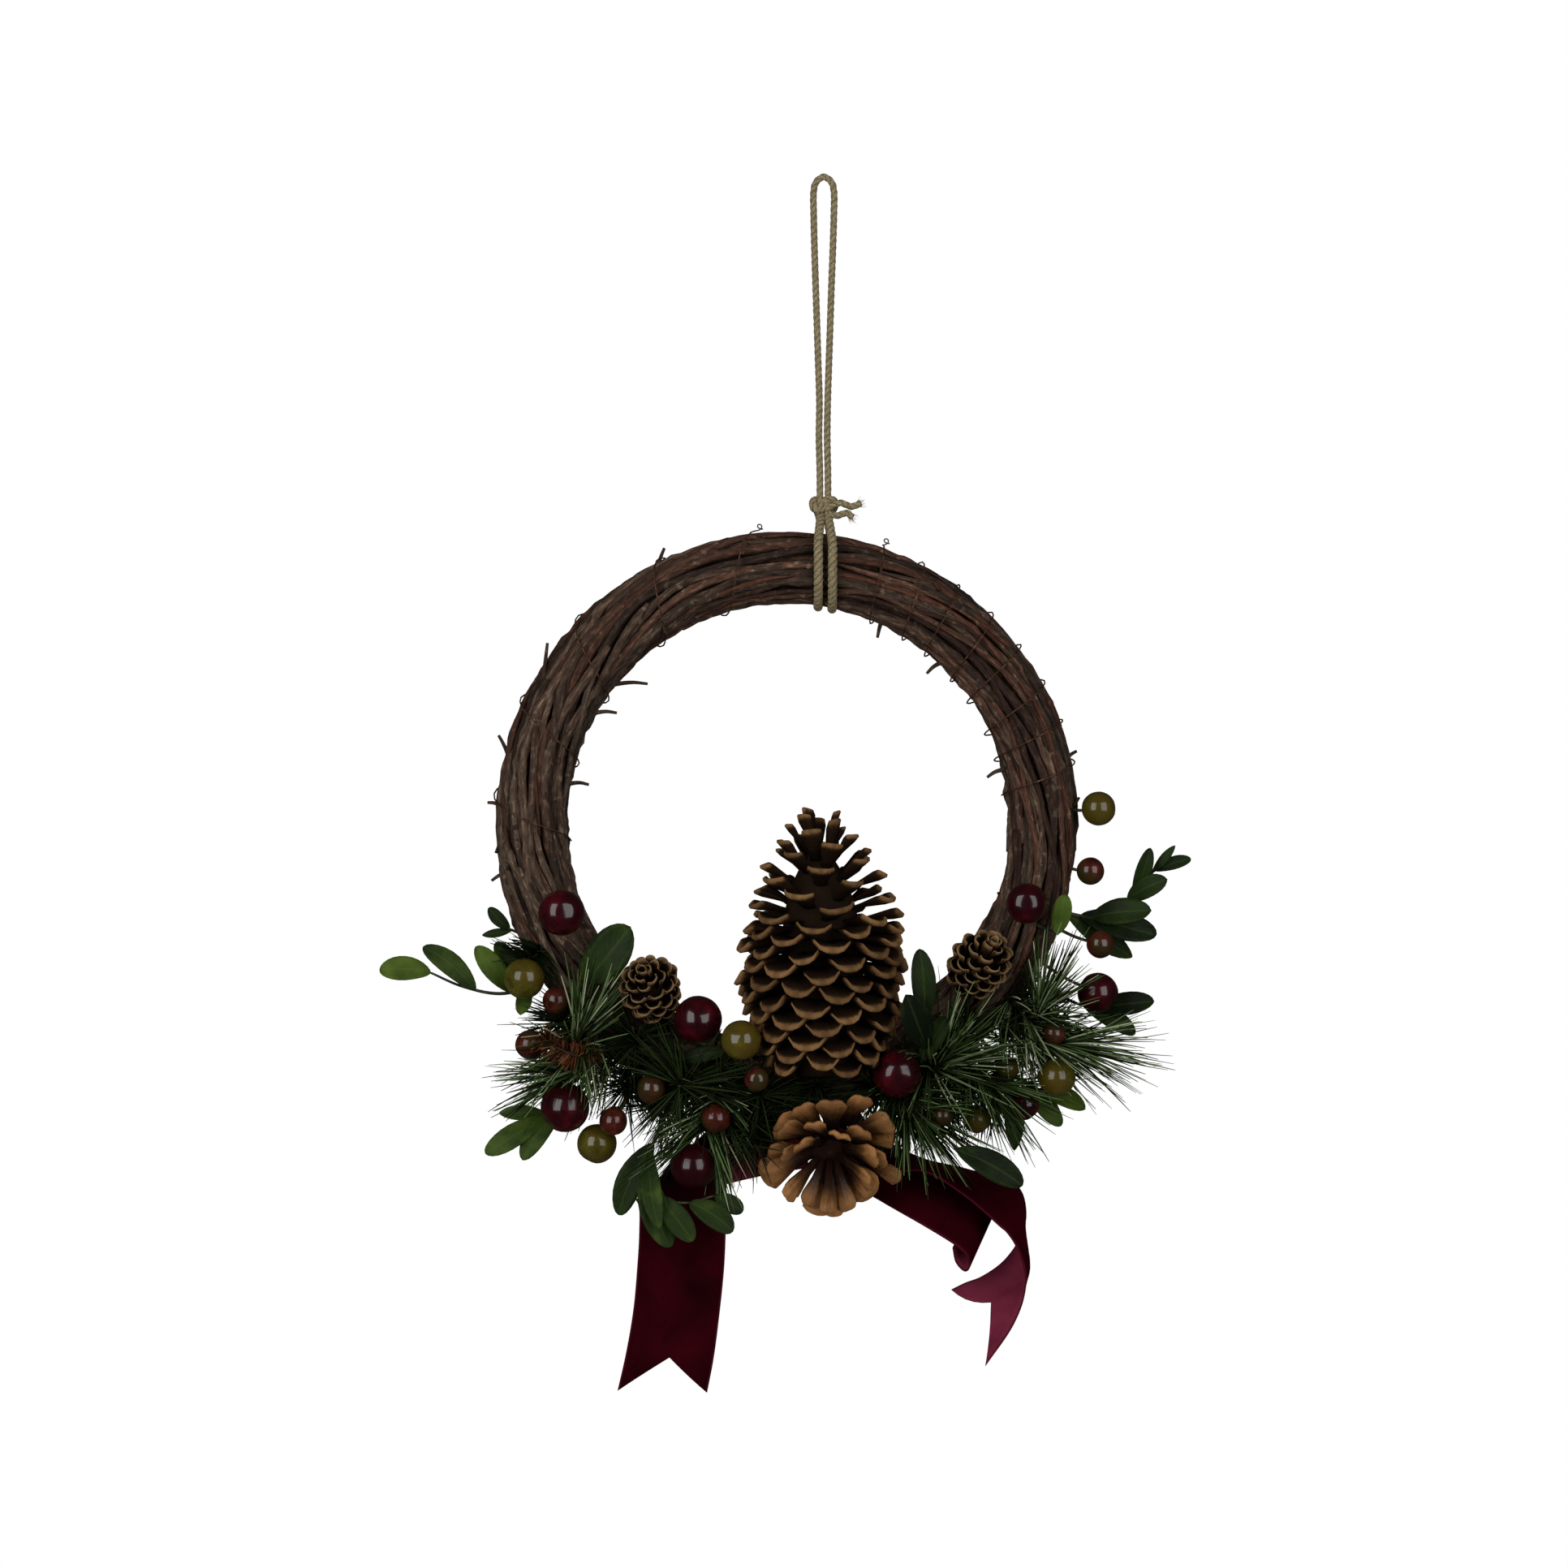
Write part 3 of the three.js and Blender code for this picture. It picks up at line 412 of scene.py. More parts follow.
def wrap_path(x):
    """Runs from the knot down in front of the twigs, under them and up behind, to the knot."""
    across = math.sqrt(RING_RADIUS**2 - (x - RING_X) ** 2)
    rows = []
    for i in range(11):
        angle = math.radians(38 - 256 * i / 10)
        reach = BUNDLE_RADIUS + 2.9 + 2.4 * min(math.sin(angle), 0)
        rows.append(at(x, reach * math.cos(angle), RING_Z + across + reach * math.sin(angle)))
    rows += [at(x / 2, -2, KNOT_Z - 2), at(x / 2, 2, KNOT_Z - 2)]
    return spline(rows, 130, closed=True)


def knot_path():
    """A trefoil, squeezed a little and set upright."""
    rows = []
    for i in range(24):
        t = i / 24 * math.tau
        rows.append(at(1.7 * (math.sin(t) + 2 * math.sin(2 * t)), -1.9 * math.sin(3 * t),
                       KNOT_Z + 2 + 1.7 * (math.cos(t) - 2 * math.cos(2 * t))))
    return spline(rows, 80, closed=True)


NECKS = [
    [(-1.7, 0, -137.4), (-1.5, 1.4, -140.5), (-0.9, 3, -144.5)],
    [(1.8, 0, -137.4), (1.5, 1.6, -140.5), (0.8, 3.2, -144)],
]
TWINE_ENDS = [
    [(1, 3, -143), (7, 4, -140.5), (12, 3, -142), (16, 2, -140.5)],
    [(1, 2, -145), (6, 5, -146), (10, 6, -145), (12.5, 6, -147)],
]
bm = new_piece()
for x in WRAP_X:
    stamp_twine(bm, wrap_path(x), closed=True, radius=LOOSE_RADIUS)
stamp_twine(bm, knot_path(), closed=True, radius=LOOSE_RADIUS)
for rows in NECKS:
    stamp_twine(bm, spline(places(rows), 16))
for rows in TWINE_ENDS:
    path = spline(places(rows), 26)
    stamp_twine(bm, path)
    onward = (path[-1] - path[-3]).normalized()
    for hair in range(FRAYED):
        spread = Vector([chance.uniform(-1, 1) for axis in range(3)])
        start = path[-1] - onward * 1.5 * MM + spread * 0.8 * MM
        tip = start + (onward + spread * 0.45).normalized() * chance.uniform(2.5, 4.2) * MM
        bend = start.lerp(tip, 0.5) + spread.cross(onward) * 0.5 * MM
        stamp_rod(bm, spline([start, bend, tip], 4), lambda s: 0.16 * MM * (1.1 - s), sides=3)
finish_piece("twine_knot", bm, [jute], ["twine_binding"])
print("wraps", round(length_of(wrap_path(WRAP_X[0])) / MM), "mm each")

# %% [markdown]
# ## The twig ring
# The ring is a bundle of vine twigs, laid round and lightly twisted, so each twig moves once from
# the front to the back on its way round. The left half shows thick grey-brown twigs and the right
# half thin red-brown ones. One lathe-like ring with grooves would look cast. So each twig is a rod
# of its own, with a wavering path, knobs where leaves grew, and an end that tapers.

# %% Bark: thin, dry and fibrous, split lengthwise, so it is matte with fine streaks
bark = new_material("vine_bark", Roughness=0.85, Specular_IOR_Level=0.25)
spot = add(bark, "TexCoord")
along, around, tone = (add(bark, "Attribute", attribute_name=name) for name in LAYERS)
wrap = add(bark, "CombineXYZ", {"X": along, "Y": around, "Z": tone})
fine = add(bark, "VectorMath", {0: wrap, 1: (0.12, 6.0, 90.0)}, operation="MULTIPLY")
splits = add(bark, "TexNoise", {"Vector": fine, "Scale": 1.6, "Detail": 4.0, "Roughness": 0.7})
grey = add(bark, "ValToRGB", {"Fac": splits},
           [(0.3, "1d150f"), (0.55, "4a3c30"), (0.75, "7d6c5a")])
red = add(bark, "ValToRGB", {"Fac": splits},
          [(0.3, "1c0e09"), (0.55, "4a2a1d"), (0.75, "7a4a35")])
mixed = add(bark, "Mix", {0: tone, 6: grey, 7: red}, data_type="RGBA")
specks = add(bark, "TexNoise", {"Vector": spot, "Scale": 260.0, "Detail": 2.0})
dusty = lay_over(bark, mixed, specks, 0.62, 0.75, 0.5, "8d7a66")
# No two twigs weathered alike, so each has a brightness of its own
spread = add(bark, "Math", {0: tone, 1: 45.0}, operation="MULTIPLY")
own = add(bark, "TexNoise", {"W": spread, "Scale": 1.0, "Detail": 0.0}, noise_dimensions="1D")
bright = add(bark, "MapRange", {"Value": own, "From Min": 0.25, "From Max": 0.75, "To Min": 0.45,
                                "To Max": 1.6})
aged = add(bark, "Mix", {0: 1.0, 6: dusty, 7: bright}, data_type="RGBA", blend_type="MULTIPLY")
relief = add(bark, "Bump", {"Height": splits, "Strength": 0.9, "Distance": 0.5 * MM})
dress(bark, aged, relief)

# %% The bundle of twigs
chance = random.Random(41)
OUTER, MIDDLE, INNER = 40, 18, 8
MIDDLE_REACH, INNER_REACH = 12.2, 6.5  # from the middle of the bundle, in mm
BUDS = 46


def ring_point(turn, side, distance):
    reach = RING_RADIUS + distance * math.cos(side)
    return at(RING_X + reach * math.cos(turn), distance * math.sin(side),
              RING_Z + reach * math.sin(turn))


def twig(bm, distance, phase, thick, start, arc, steps, sides, tone):
    """Adds a twig that runs round an arc at a distance from the middle of the bundle."""
    knobs = [chance.random() for i in range(int(arc * 4))]
    waver = chance.uniform(0, 90)
    rough = chance.uniform(0, 90)

    def path_point(share):
        turn = start + arc * share
        drift = noise.noise(Vector((turn * 2.2, waver, 0)))
        lift = noise.noise(Vector((turn * 5.0, waver, 7)))
        out = distance + 0.9 * lift + 1.2 * noise.noise(Vector((turn * 16, waver, 3)))
        return ring_point(turn, phase + turn + 0.55 * drift, min(out, BUNDLE_RADIUS - thick + 0.4))

    def radius(share):
        swell = sum(math.exp(-((share - k) * arc * RING_RADIUS / 1.6) ** 2) for k in knobs)
        taper = min(1, (1 - share) * arc * 3 + 0.35, share * arc * 6 + 0.6)
        grain = 1 + 0.1 * noise.noise(Vector((share * arc * 30, rough, 0)))
        return thick * MM * taper * (grain + 0.35 * min(swell, 1))

    path = [path_point(i / steps) for i in range(steps + 1)]
    stamp_rod(bm, path, radius, sides, tone)


bm = new_piece()
for number in range(OUTER):
    start = chance.uniform(0, math.tau)
    left = math.cos(start + 1.6) < 0.1  # where the middle of a twig lies
    thick = chance.uniform(1.5, 2.3) if left else chance.uniform(1.0, 1.5)
    tone = chance.uniform(0, 0.45) if left else chance.uniform(0.5, 1)
    twig(bm, BUNDLE_RADIUS - thick, number / OUTER * math.tau, thick, start,
         chance.uniform(2.6, 5.2), 150, 6, tone)
for number in range(MIDDLE):
    twig(bm, MIDDLE_REACH, number / MIDDLE * math.tau, chance.uniform(1.8, 2.4),
         chance.uniform(0, math.tau), math.tau, 110, 5, chance.random())
for number in range(INNER):
    twig(bm, INNER_REACH, number / INNER * math.tau, 3, chance.uniform(0, math.tau), math.tau,
         80, 5, chance.random())
heart = [ring_point(i / 90 * math.tau, 0, 0) for i in range(91)]
stamp_rod(bm, heart, lambda share: 5 * MM, 6, 0.3)

# Where a stray end leaves the bundle and where its tip is, as an angle and a reach
STRAY_ENDS = [
    (118, 122, 114, 131), (150, 122, 143, 130), (142, 98, 135, 86), (151, 98, 147, 88),
    (168, 122, 163, 131), (170, 98, 169, 88), (177, 122, 176, 130), (190, 122, 191, 131),
    (12, 122, 14, 130), (14, 98, 13, 89), (65, 98, 64, 90), (46, 98, 47, 89),
]
for number, (root_angle, root_reach, tip_angle, tip_reach) in enumerate(STRAY_ENDS):
    front = 5 * math.sin(2.3 * number)
    root = ring_point(math.radians(root_angle), 0, root_reach - RING_RADIUS)
    tip = ring_point(math.radians(tip_angle), 0, tip_reach - RING_RADIUS)
    root.y, tip.y = -front * MM, -1.4 * front * MM
    bend = root.lerp(tip, 0.6) + Vector((0, 0, 0.8 * MM))
    stamp_rod(bm, spline([root, bend, tip], 8), lambda s: (1.15 - 0.5 * s) * MM, 6, 0.2)
for number in range(BUDS):
    turn = chance.uniform(0, math.tau)
    side = chance.uniform(0, math.tau)
    root = ring_point(turn, side, BUNDLE_RADIUS - 1.5)
    onward = turn + chance.uniform(0.01, 0.035)
    tip = ring_point(onward, side, BUNDLE_RADIUS + chance.uniform(0, 1.4))
    stamp_rod(bm, spline([root, tip], 3), lambda s: (0.9 - 0.3 * s) * MM, 5, chance.random())
finish_piece("vine_twigs", bm, [bark], ["twig_ring"])
print("twigs laid:", OUTER + MIDDLE + INNER)

# %% [markdown]
# Thin wire holds the bundle together. It was left out in the damp, so it is brown with rust, and
# only where it rubs does metal show.

# %% Rusty wire
rust = mottled("rusted_wire", 500.0, [(0.35, "2e1a12"), (0.6, "64402e"), (0.75, "8a705c")],
               detail=3.0, Metallic=0.6, Roughness=0.55)


WIRE_STEPS = 22  # to a turn
WIRE_RADIUS = 0.35 * MM


def wire_path(start_angle, end_angle, turns):
    steps = round(turns * WIRE_STEPS)
    path = []
    for i in range(steps + 1):
        share = i / steps
        angle = math.radians(start_angle + (end_angle - start_angle) * share)
        side = share * turns * math.tau
        slack = 0.25 * noise.noise(Vector((share * 30, start_angle, 0)))
        angle += 0.01 * math.sin(side * 0.5)
        path.append(ring_point(angle, side, BUNDLE_RADIUS + 1.3 + slack))
    return path


def coiled_end(point, onward, reach):
    """A short loose end that coils once."""
    rows = [point]
    for i in range(1, 10):
        turn = i / 9 * math.tau
        loop = Vector((math.sin(turn) * 1.6, 0, (1 - math.cos(turn)) * 1.2)) * MM
        rows.append(point + onward * (reach * i / 9) + loop)
    return rows


for name, node, limits in (("wire_right", "binding_wire_right", (71, 8, 7.5)),
                           ("wire_left", "binding_wire_left", (96, 184, 4.5))):
    bm = new_piece()
    path = wire_path(*limits)
    stamp_rod(bm, path, lambda s: WIRE_RADIUS, 6)
    end = coiled_end(path[0], Vector((1, -0.2, 0.2)) * MM, 3)
    stamp_rod(bm, spline(end, 24), lambda s: 0.3 * MM, 5)
    finish_piece(name, bm, [rust], [node])
print("wire wound in two lengths")

# %% [markdown]
# ## Pine cones
# A cone's scales grow in a spiral, each 137.5 degrees round from the last. That one rule gives the
# crossing rows that the eye knows from every cone. A scale is a tongue, narrow where it grows and
# thick at its end, where the pale end face shows the age of the scale. The scale's template is a
# cube, cut into a grid by subdividing its edges, so that its faces can be curved and cupped.

# %% A slab that bends, for scales, leaves and ribbon
def slab_template(across, along, deep):
    """A closed slab from x = -1 to 1, y = 0 to 1 and z = -1 to 1, cut across, along and deep."""
    bm = bmesh.new()
    bmesh.ops.create_cube(bm, size=2)
    for axis, cuts in ((0, across), (1, along), (2, deep)):
        edges = [e for e in bm.edges
                 if abs(e.verts[0].co[axis] - e.verts[1].co[axis]) > 1.5]
        if cuts > 1:
            bmesh.ops.subdivide_edges(bm, edges=edges, cuts=cuts - 1, use_grid_fill=True)
    bmesh.ops.scale(bm, verts=bm.verts, vec=(1, 0.5, 1))
    bmesh.ops.translate(bm, verts=bm.verts, vec=(0, 0.5, 0))
    return to_mesh(f"slab_{across}_{along}_{deep}", bm)


def along_table(table, value):
    for (low, low_value), (high, high_value) in zip(table, table[1:]):
        if value <= high:
            share = max(value - low, 0) / (high - low)
            return low_value + (high_value - low_value) * share
    return table[-1][1]


def smooth_step(low, high, value):
    share = min(max((value - low) / (high - low), 0), 1)
    return share * share * (3 - 2 * share)


# %% A cone from its core and its spiral of scales
CORE_TONE = 3.0  # past 1, so that the core takes the darkest colour of its cone
GOLDEN_ANGLE = math.pi * (3 - math.sqrt(5))
scale_shape = slab_template(6, 3, 2)


def cone(bm, base, tip, outline, tilt, rises, count, core, start, chance, widths, thick,
         cup, curl, plan, worn_from, ragged=0.06, keel=0.0):
    """The tables go from a height to a radius, a tilt or a width, all along the cone's axis."""
    height = (tip - base).length / MM
    stand = Matrix.Translation(base) @ Vector((0, 0, 1)).rotation_difference(
        (tip - base).normalized()).to_matrix().to_4x4() @ Matrix.Scale(MM, 4)
    core_from, core_to, core_share = core

    def core_radius(share):
        rise = core_from + (core_to - core_from) * share
        return (core_share * along_table(outline, rise) + 0.6) * (1 - share**8) * MM

    heart = [base.lerp(tip, (core_from + (core_to - core_from) * i / 24) / height)
             for i in range(25)]
    stamp_rod(bm, heart, core_radius, 12, CORE_TONE)
    for vert in bm.verts:  # the core isn't worn anywhere
        vert[bm.verts.layers.float["along"]] = 0.0
    for number in range(count):
        rise = along_table(rises, number / (count - 1)) + chance.uniform(-0.4, 0.4)
        radius = along_table(outline, rise) * chance.uniform(1 - ragged, 1 + ragged / 2)
        lean = math.radians(along_table(tilt, rise) + chance.uniform(-5, 5))
        root = core_share * radius * 0.5
        length = (radius - root) / math.cos(lean)
        half = along_table(widths, rise) / 2 * chance.uniform(1 - 2 * ragged, 1 + ragged)
        size = (half * 2 / widths[1][1]) ** 0.6
        turn = Matrix.Rotation(start + number * GOLDEN_ANGLE + chance.uniform(-0.05, 0.05), 4, "Z")
        set_back = stand @ turn @ Matrix.Translation((root, 0, rise - length * math.sin(lean)))
        roll = Matrix.Rotation(-lean, 4, "Y") @ Matrix.Rotation(
            chance.uniform(-2 * ragged, 2 * ragged), 4, "X")
        place_scale = set_back @ roll

        def place(point):
            side, row, level = point
            # The slab swells toward its end, cups at its sides and is rounded at its corners
            share = 1 - (1 - row) ** 1.6
            end = smooth_step(0.7, 1, share)
            body = thick * size * (0.3 + 0.7 * smooth_step(0.4, 0.9, share)) / 2
            bowl = 0.3 * side * side + 0.7 * side**4
            x = length * share - half * (0.42 * bowl + 0.12 * level * level) * end
            y = half * side * along_table(plan, share)
            rounding = (1 - 0.55 * side * side * share) * (1 - 0.25 * smooth_step(0.95, 1, share))
            z = level * body * rounding + cup * size * bowl * share + curl * share**3
            z += keel * size * max(1 - 1.6 * abs(side), 0) * smooth_step(0.1, 0.6, share)
            return place_scale @ Vector((x, y, z)), smooth_step(worn_from, 1, share), side

        stamp(bm, scale_shape, place, chance.random())


# %% [markdown]
# On an open pine cone only the ends of the scales are tan, where the weather has worn them. The
# broad faces behind them stay in each other's shade and are dark brown. The stamped number along a
# scale, from 0 at the root to 1 on the end face, carries that change.

# %% Cone scales: woody and dry, tan at the worn ends and dark behind
def cone_material(name, dark, mid, pale, worn, umbo, gloss=0.0):
    made = new_material(name, Roughness=0.8, Specular_IOR_Level=0.08, Coat_Weight=gloss,
                        Coat_Roughness=0.3)
    spot = add(made, "TexCoord")
    edge, side, tone = (add(made, "Attribute", attribute_name=layer) for layer in LAYERS)
    grain = add(made, "TexNoise", {"Vector": spot, "Scale": 300.0, "Detail": 4.0,
                                   "Roughness": 0.65})
    lane = add(made, "CombineXYZ", {0: side, 1: tone, 2: edge})
    lanes = add(made, "VectorMath", {0: lane, 1: (3.5, 40.0, 0.7)}, operation="MULTIPLY")
    ridges = add(made, "TexNoise", {"Vector": lanes, "Scale": 2.0, "Detail": 2.0})
    both = add(made, "Math", {0: ridges, 1: 0.9, 2: grain}, operation="MULTIPLY_ADD")
    uneven = add(made, "Math", {0: both, 1: 0.55, 2: -0.5}, operation="MULTIPLY_ADD")
    worn_edge = add(made, "Math", {0: edge, 1: uneven}, operation="ADD")
    shade = add(made, "ValToRGB", {"Fac": worn_edge}, [(0.15, dark), (0.5, mid), (0.9, pale)])
    # The umbo, a darker spot in the middle of each end face
    centre = add(made, "MapRange", {"Value": side, "From Min": -0.3, "From Max": 0.3,
                                    "To Min": -1.0, "To Max": 1.0})
    square = add(made, "Math", {0: centre, 1: 2.0}, operation="POWER")
    dip = add(made, "Math", {0: 1.0, 1: square}, operation="SUBTRACT")
    on_end = add(made, "Math", {0: dip, 1: edge}, operation="MULTIPLY")
    mark = add(made, "Math", {0: on_end, 1: umbo}, operation="MULTIPLY", use_clamp=True)
    marked = add(made, "Mix", {0: mark, 6: shade, 7: colour(mid)}, data_type="RGBA")
    fade = add(made, "Math", {0: tone, 1: worn}, operation="MULTIPLY")
    varied = add(made, "Mix", {0: fade, 6: marked, 7: colour(dark)}, data_type="RGBA")
    relief = add(made, "Bump", {"Height": both, "Strength": 0.7, "Distance": 0.7 * MM})
    dress(made, varied, relief)
    return made


dark_scales = cone_material("weathered_scales", "20140a", "3a2614", "866440", 0.45, 0.4)
golden_scales = cone_material("golden_scales", "241209", "5c3c1e", "a67444", 0.5, 0.3, 0.2)
thin_scales = cone_material("thin_scales", "20150c", "503822", "8e7250", 0.35, 0.1)

# %% The large cone
bm = new_piece()
tongue = [(0, 0.35), (0.5, 0.55), (0.8, 0.95), (0.92, 1), (1, 0.86)]
cone(bm, at(0.5, 29, -393), at(-3, 24, -271),
     outline=[(0, 17), (8, 24), (16, 29.5), (30, 34.5), (46, 37.5), (60, 37), (76, 34.6),
              (92, 28.5), (108, 19), (116, 12.5), (122, 7)],
     tilt=[(0, -30), (30, -26), (46, -20), (61, -8), (76, 10), (86, 20), (96, 30), (105, 42),
           (114, 60), (122, 75)],
     rises=[(0, 5), (0.72, 70), (1, 121)], count=138, core=(6, 108, 0.47), start=0.4,
     chance=random.Random(7),
     widths=[(0, 15), (20, 17.5), (72, 17), (100, 11.5), (115, 8.5), (122, 7)],
     thick=3.2, cup=3.4, curl=-0.6, plan=tongue, worn_from=0.78, ragged=0.09)
finish_piece("weathered_cone", bm, [dark_scales], ["large_pinecone"])

# %% [markdown]
# The golden cone faces the viewer and points a little down, so its upper scales show their blunt
# ends and its lower ones spread like blades round a dark heart. Its stalk reaches back to the
# ring, behind the ribbon.

# %% The golden cone
def seat(angle, side):
    return ring_point(math.radians(angle), math.radians(side), BUNDLE_RADIUS - 2.6)


bm = new_piece()
blade = [(0, 0.4), (0.4, 0.5), (0.7, 0.7), (0.88, 1), (1, 1)]
front_base, front_tip = at(3, 22, -414.5), at(2, 52, -429.5)
cone(bm, front_base, front_tip,
     outline=[(0, 27), (10, 31.5), (20, 29), (30, 22), (38, 11)],
     tilt=[(0, 4), (12, 14), (24, 38), (38, 66)],
     rises=[(0, 6), (1, 31)], count=29, core=(2, 12, 0.3), start=0.2, chance=random.Random(3),
     widths=[(0, 12), (10, 13), (25, 10.5), (38, 7)],
     thick=3.4, cup=1.2, curl=1.8, plan=blade, worn_from=0.3, ragged=0.16, keel=1.5)
stamp_rod(bm, spline([seat(279.5, 50), front_base.lerp(front_tip, 0.1)], 6), lambda s: 2 * MM, 8)
finish_piece("golden_cone", bm, [golden_scales], ["front_pinecone"])

# %% The two small cones
rosette = [(0, 0.4), (0.4, 0.7), (0.75, 1), (0.92, 0.95), (1, 0.7)]
for name, node, base, tip, seed in (
        ("rosette_left", "small_cone_left", at(-71, 11, -360), at(-77, 40, -342), 1),
        ("rosette_right", "small_cone_right", at(60, 15, -351), at(73.5, 44, -326), 2)):
    bm = new_piece()
    cone(bm, base, tip, outline=[(0, 8), (9, 12.5), (20, 14.5), (28, 13), (34, 8), (38, 2)],
         tilt=[(0, 10), (14, 24), (26, 44), (34, 66), (38, 84)],
         rises=[(0, 4), (1, 38)], count=56, core=(0.5, 28, 0.4), start=1,
         chance=random.Random(seed), widths=[(0, 7), (14, 10.5), (28, 9), (38, 5)],
         thick=1.1, cup=2.4, curl=0.8, plan=rosette, worn_from=0.75)
    finish_piece(name, bm, [thin_scales], [node])

# %% [markdown]
# ## Lacquered berries
# The berries are turned beads with a thick coat of clear lacquer over a mottled colour, on stems of
# wire wrapped in brown paper tape. The coat mirrors the two windows sharply, over the soft colour
# below, and that is what tells the eye that it is lacquer.

# %% Lacquer and paper tape
def lacquer(name, deep, bright, fleck, other):
    made = new_material(name, Roughness=0.3, Coat_Weight=0.9, Coat_Roughness=0.12,
                        Specular_IOR_Level=0.08)
    spot = add(made, "TexCoord")
    clouds = add(made, "TexNoise", {"Vector": spot, "Scale": 150.0, "Detail": 4.0,
                                    "Roughness": 0.6})
    base = add(made, "ValToRGB", {"Fac": clouds}, [(0.35, deep), (0.7, bright)])
    dots = add(made, "TexNoise", {"Vector": spot, "Scale": 900.0, "Detail": 1.0})
    flecked = lay_over(made, base, dots, 0.66, 0.72, 0.35, fleck)
    crown = add(made, "Attribute", attribute_name="along")
    dotted = lay_over(made, flecked, crown, 0.975, 0.99, 0.4, "140a06")
    blush = add(made, "TexNoise", {"Vector": spot, "Scale": 70.0, "Detail": 1.0})
    two_tone = lay_over(made, dotted, blush, 0.42, 0.58, 0.8, other)
    dress(made, two_tone)
    return made


red_lacquer = lacquer("red_lacquer", "1a0206", "480812", "54121c", "24040a")
olive_lacquer = lacquer("olive_lacquer", "3a340a", "5c561c", "7e7434", "4a3c10")
brown_lacquer = lacquer("brown_lacquer", "260c08", "5a2219", "7a4632", "2e2a12")

tape = mottled("stem_tape", 700.0, [(0.3, "2a1c10"), (0.7, "4f3a22")], Roughness=0.75)

# %% Beads on their stems
BERRIES = {
    "red_berry": (red_lacquer, [
        ((-112.5, 29, -317.5), 9.9, (-116.3, 12.6, -319)),
        ((-54, 30, -363), 10.2, (-59.1, 10.9, -374.1)),
        ((86.5, 28.5, -313.5), 8.8, (88.1, 12.9, -314)),
        ((31, 34, -386), 10.6, (29.6, 12.8, -382.9)),
        ((118, 14, -352.5), 8.8, (92.3, 4.1, -338.5)),
        ((-111.5, 19, -401.5), 10.6, (-87.5, 5.2, -379.5)),
        ((-56, 30, -426), 9.9, (-51.7, 12.2, -389.3)),
        ((86.5, 10, -401), 6.7, (63.8, 2.7, -374.1))]),
    "olive_berry": (olive_lacquer, [
        ((-129, 20, -346), 8.8, (-119.6, 9.2, -340.5)),
        ((-35.5, 45, -371), 8.5, (-25.6, 13, -388.9)),
        ((-98, 14, -417.5), 8.5, (-79.1, 3.5, -385.7)),
        ((118.7, 10, -273), 7.4, (106.8, 5, -273.6)),
        ((99.5, 26, -388), 8.1, (69.5, 6.2, -367.1)),
        ((65.8, 14, -407), 6, (50.6, 4.2, -383.3)),
        ((79, 14, -385), 5.3, (66.2, 5.4, -370.8))]),
    "brown_berry": (brown_lacquer, [
        ((-115, 22, -355.5), 6, (-109.5, 11, -351.3)),
        ((-127, 12, -375), 6.4, (-109.5, 4.2, -359.9)),
        ((-90.5, 24, -407), 6, (-77.5, 7.1, -384.7)),
        ((-74, 28, -393), 6.4, (-69.5, 11.2, -384.2)),
        ((-29, 40, -388), 5.3, (-29.1, 13, -389.2)),
        ((-46.5, 34, -405), 6.4, (-38.7, 11.5, -394.4)),
        ((115, 12, -300), 6, (104.9, 6.3, -298.4)),
        ((119, 16, -331.5), 6, (98.5, 5.6, -323.6)),
        ((98.5, 24, -369.5), 4.9, (82.9, 7.4, -350.5)),
        ((50.5, 32, -404), 4.6, (40.5, 9.5, -385.3))]),
}
bm = bmesh.new()
bmesh.ops.create_uvsphere(bm, u_segments=28, v_segments=18, radius=1)
bead_shape = to_mesh("bead", bm)


def stamp_stem(bm, path, thick, less):
    """Adds a stem with the second material. less is how much it thins to its tip, in mm."""
    first = len(bm.faces)
    stamp_rod(bm, path, lambda share: (thick - less * share) * MM, 6)
    bm.faces.ensure_lookup_table()
    for face in bm.faces[first:]:
        face.material_index = 1


def make_berry(node, coat, middle, radius, root):
    outward = (middle - root).normalized()
    swing = Vector((0, 0, 1)).rotation_difference(outward).to_matrix()

    def place(point):
        crown = smooth_step(0.9, 1, point.z)
        foot = smooth_step(0.85, 1, -point.z)
        girth = 1 + 0.02 * noise.noise(point * 1.4 + middle * 90)
        local = point * girth * (1 - 0.05 * crown - 0.06 * foot)
        return middle + swing @ local * radius * MM, point.z, 0.0

    bm = new_piece()
    stamp(bm, bead_shape, place, random.Random(node).random())
    bend = root.lerp(middle, 0.5) + Vector((0, 0.4, -1)) * (middle - root).length * 0.04
    stamp_stem(bm, spline([root, bend, middle], 10), 0.75, 0.1)
    finish_piece(node + "_bead", bm, [coat, tape], [node])


for kind, (coat, rows) in BERRIES.items():
    for number, (middle, radius, root) in enumerate(rows, 1):
        make_berry(f"{kind}_{number}", coat, at(*middle), radius, at(*root))
    print(kind, len(rows))

# %% [markdown]
# ## Leafy sprigs
# The leaves are small, smooth and leathery, like box or cowberry: blunt ovals, folded a little on
# the midrib and arched from stalk to tip. One slab is bent to each leaf's own place. A leaf is
# given by how far along its stem it grows, where its tip is, and how wide it is.

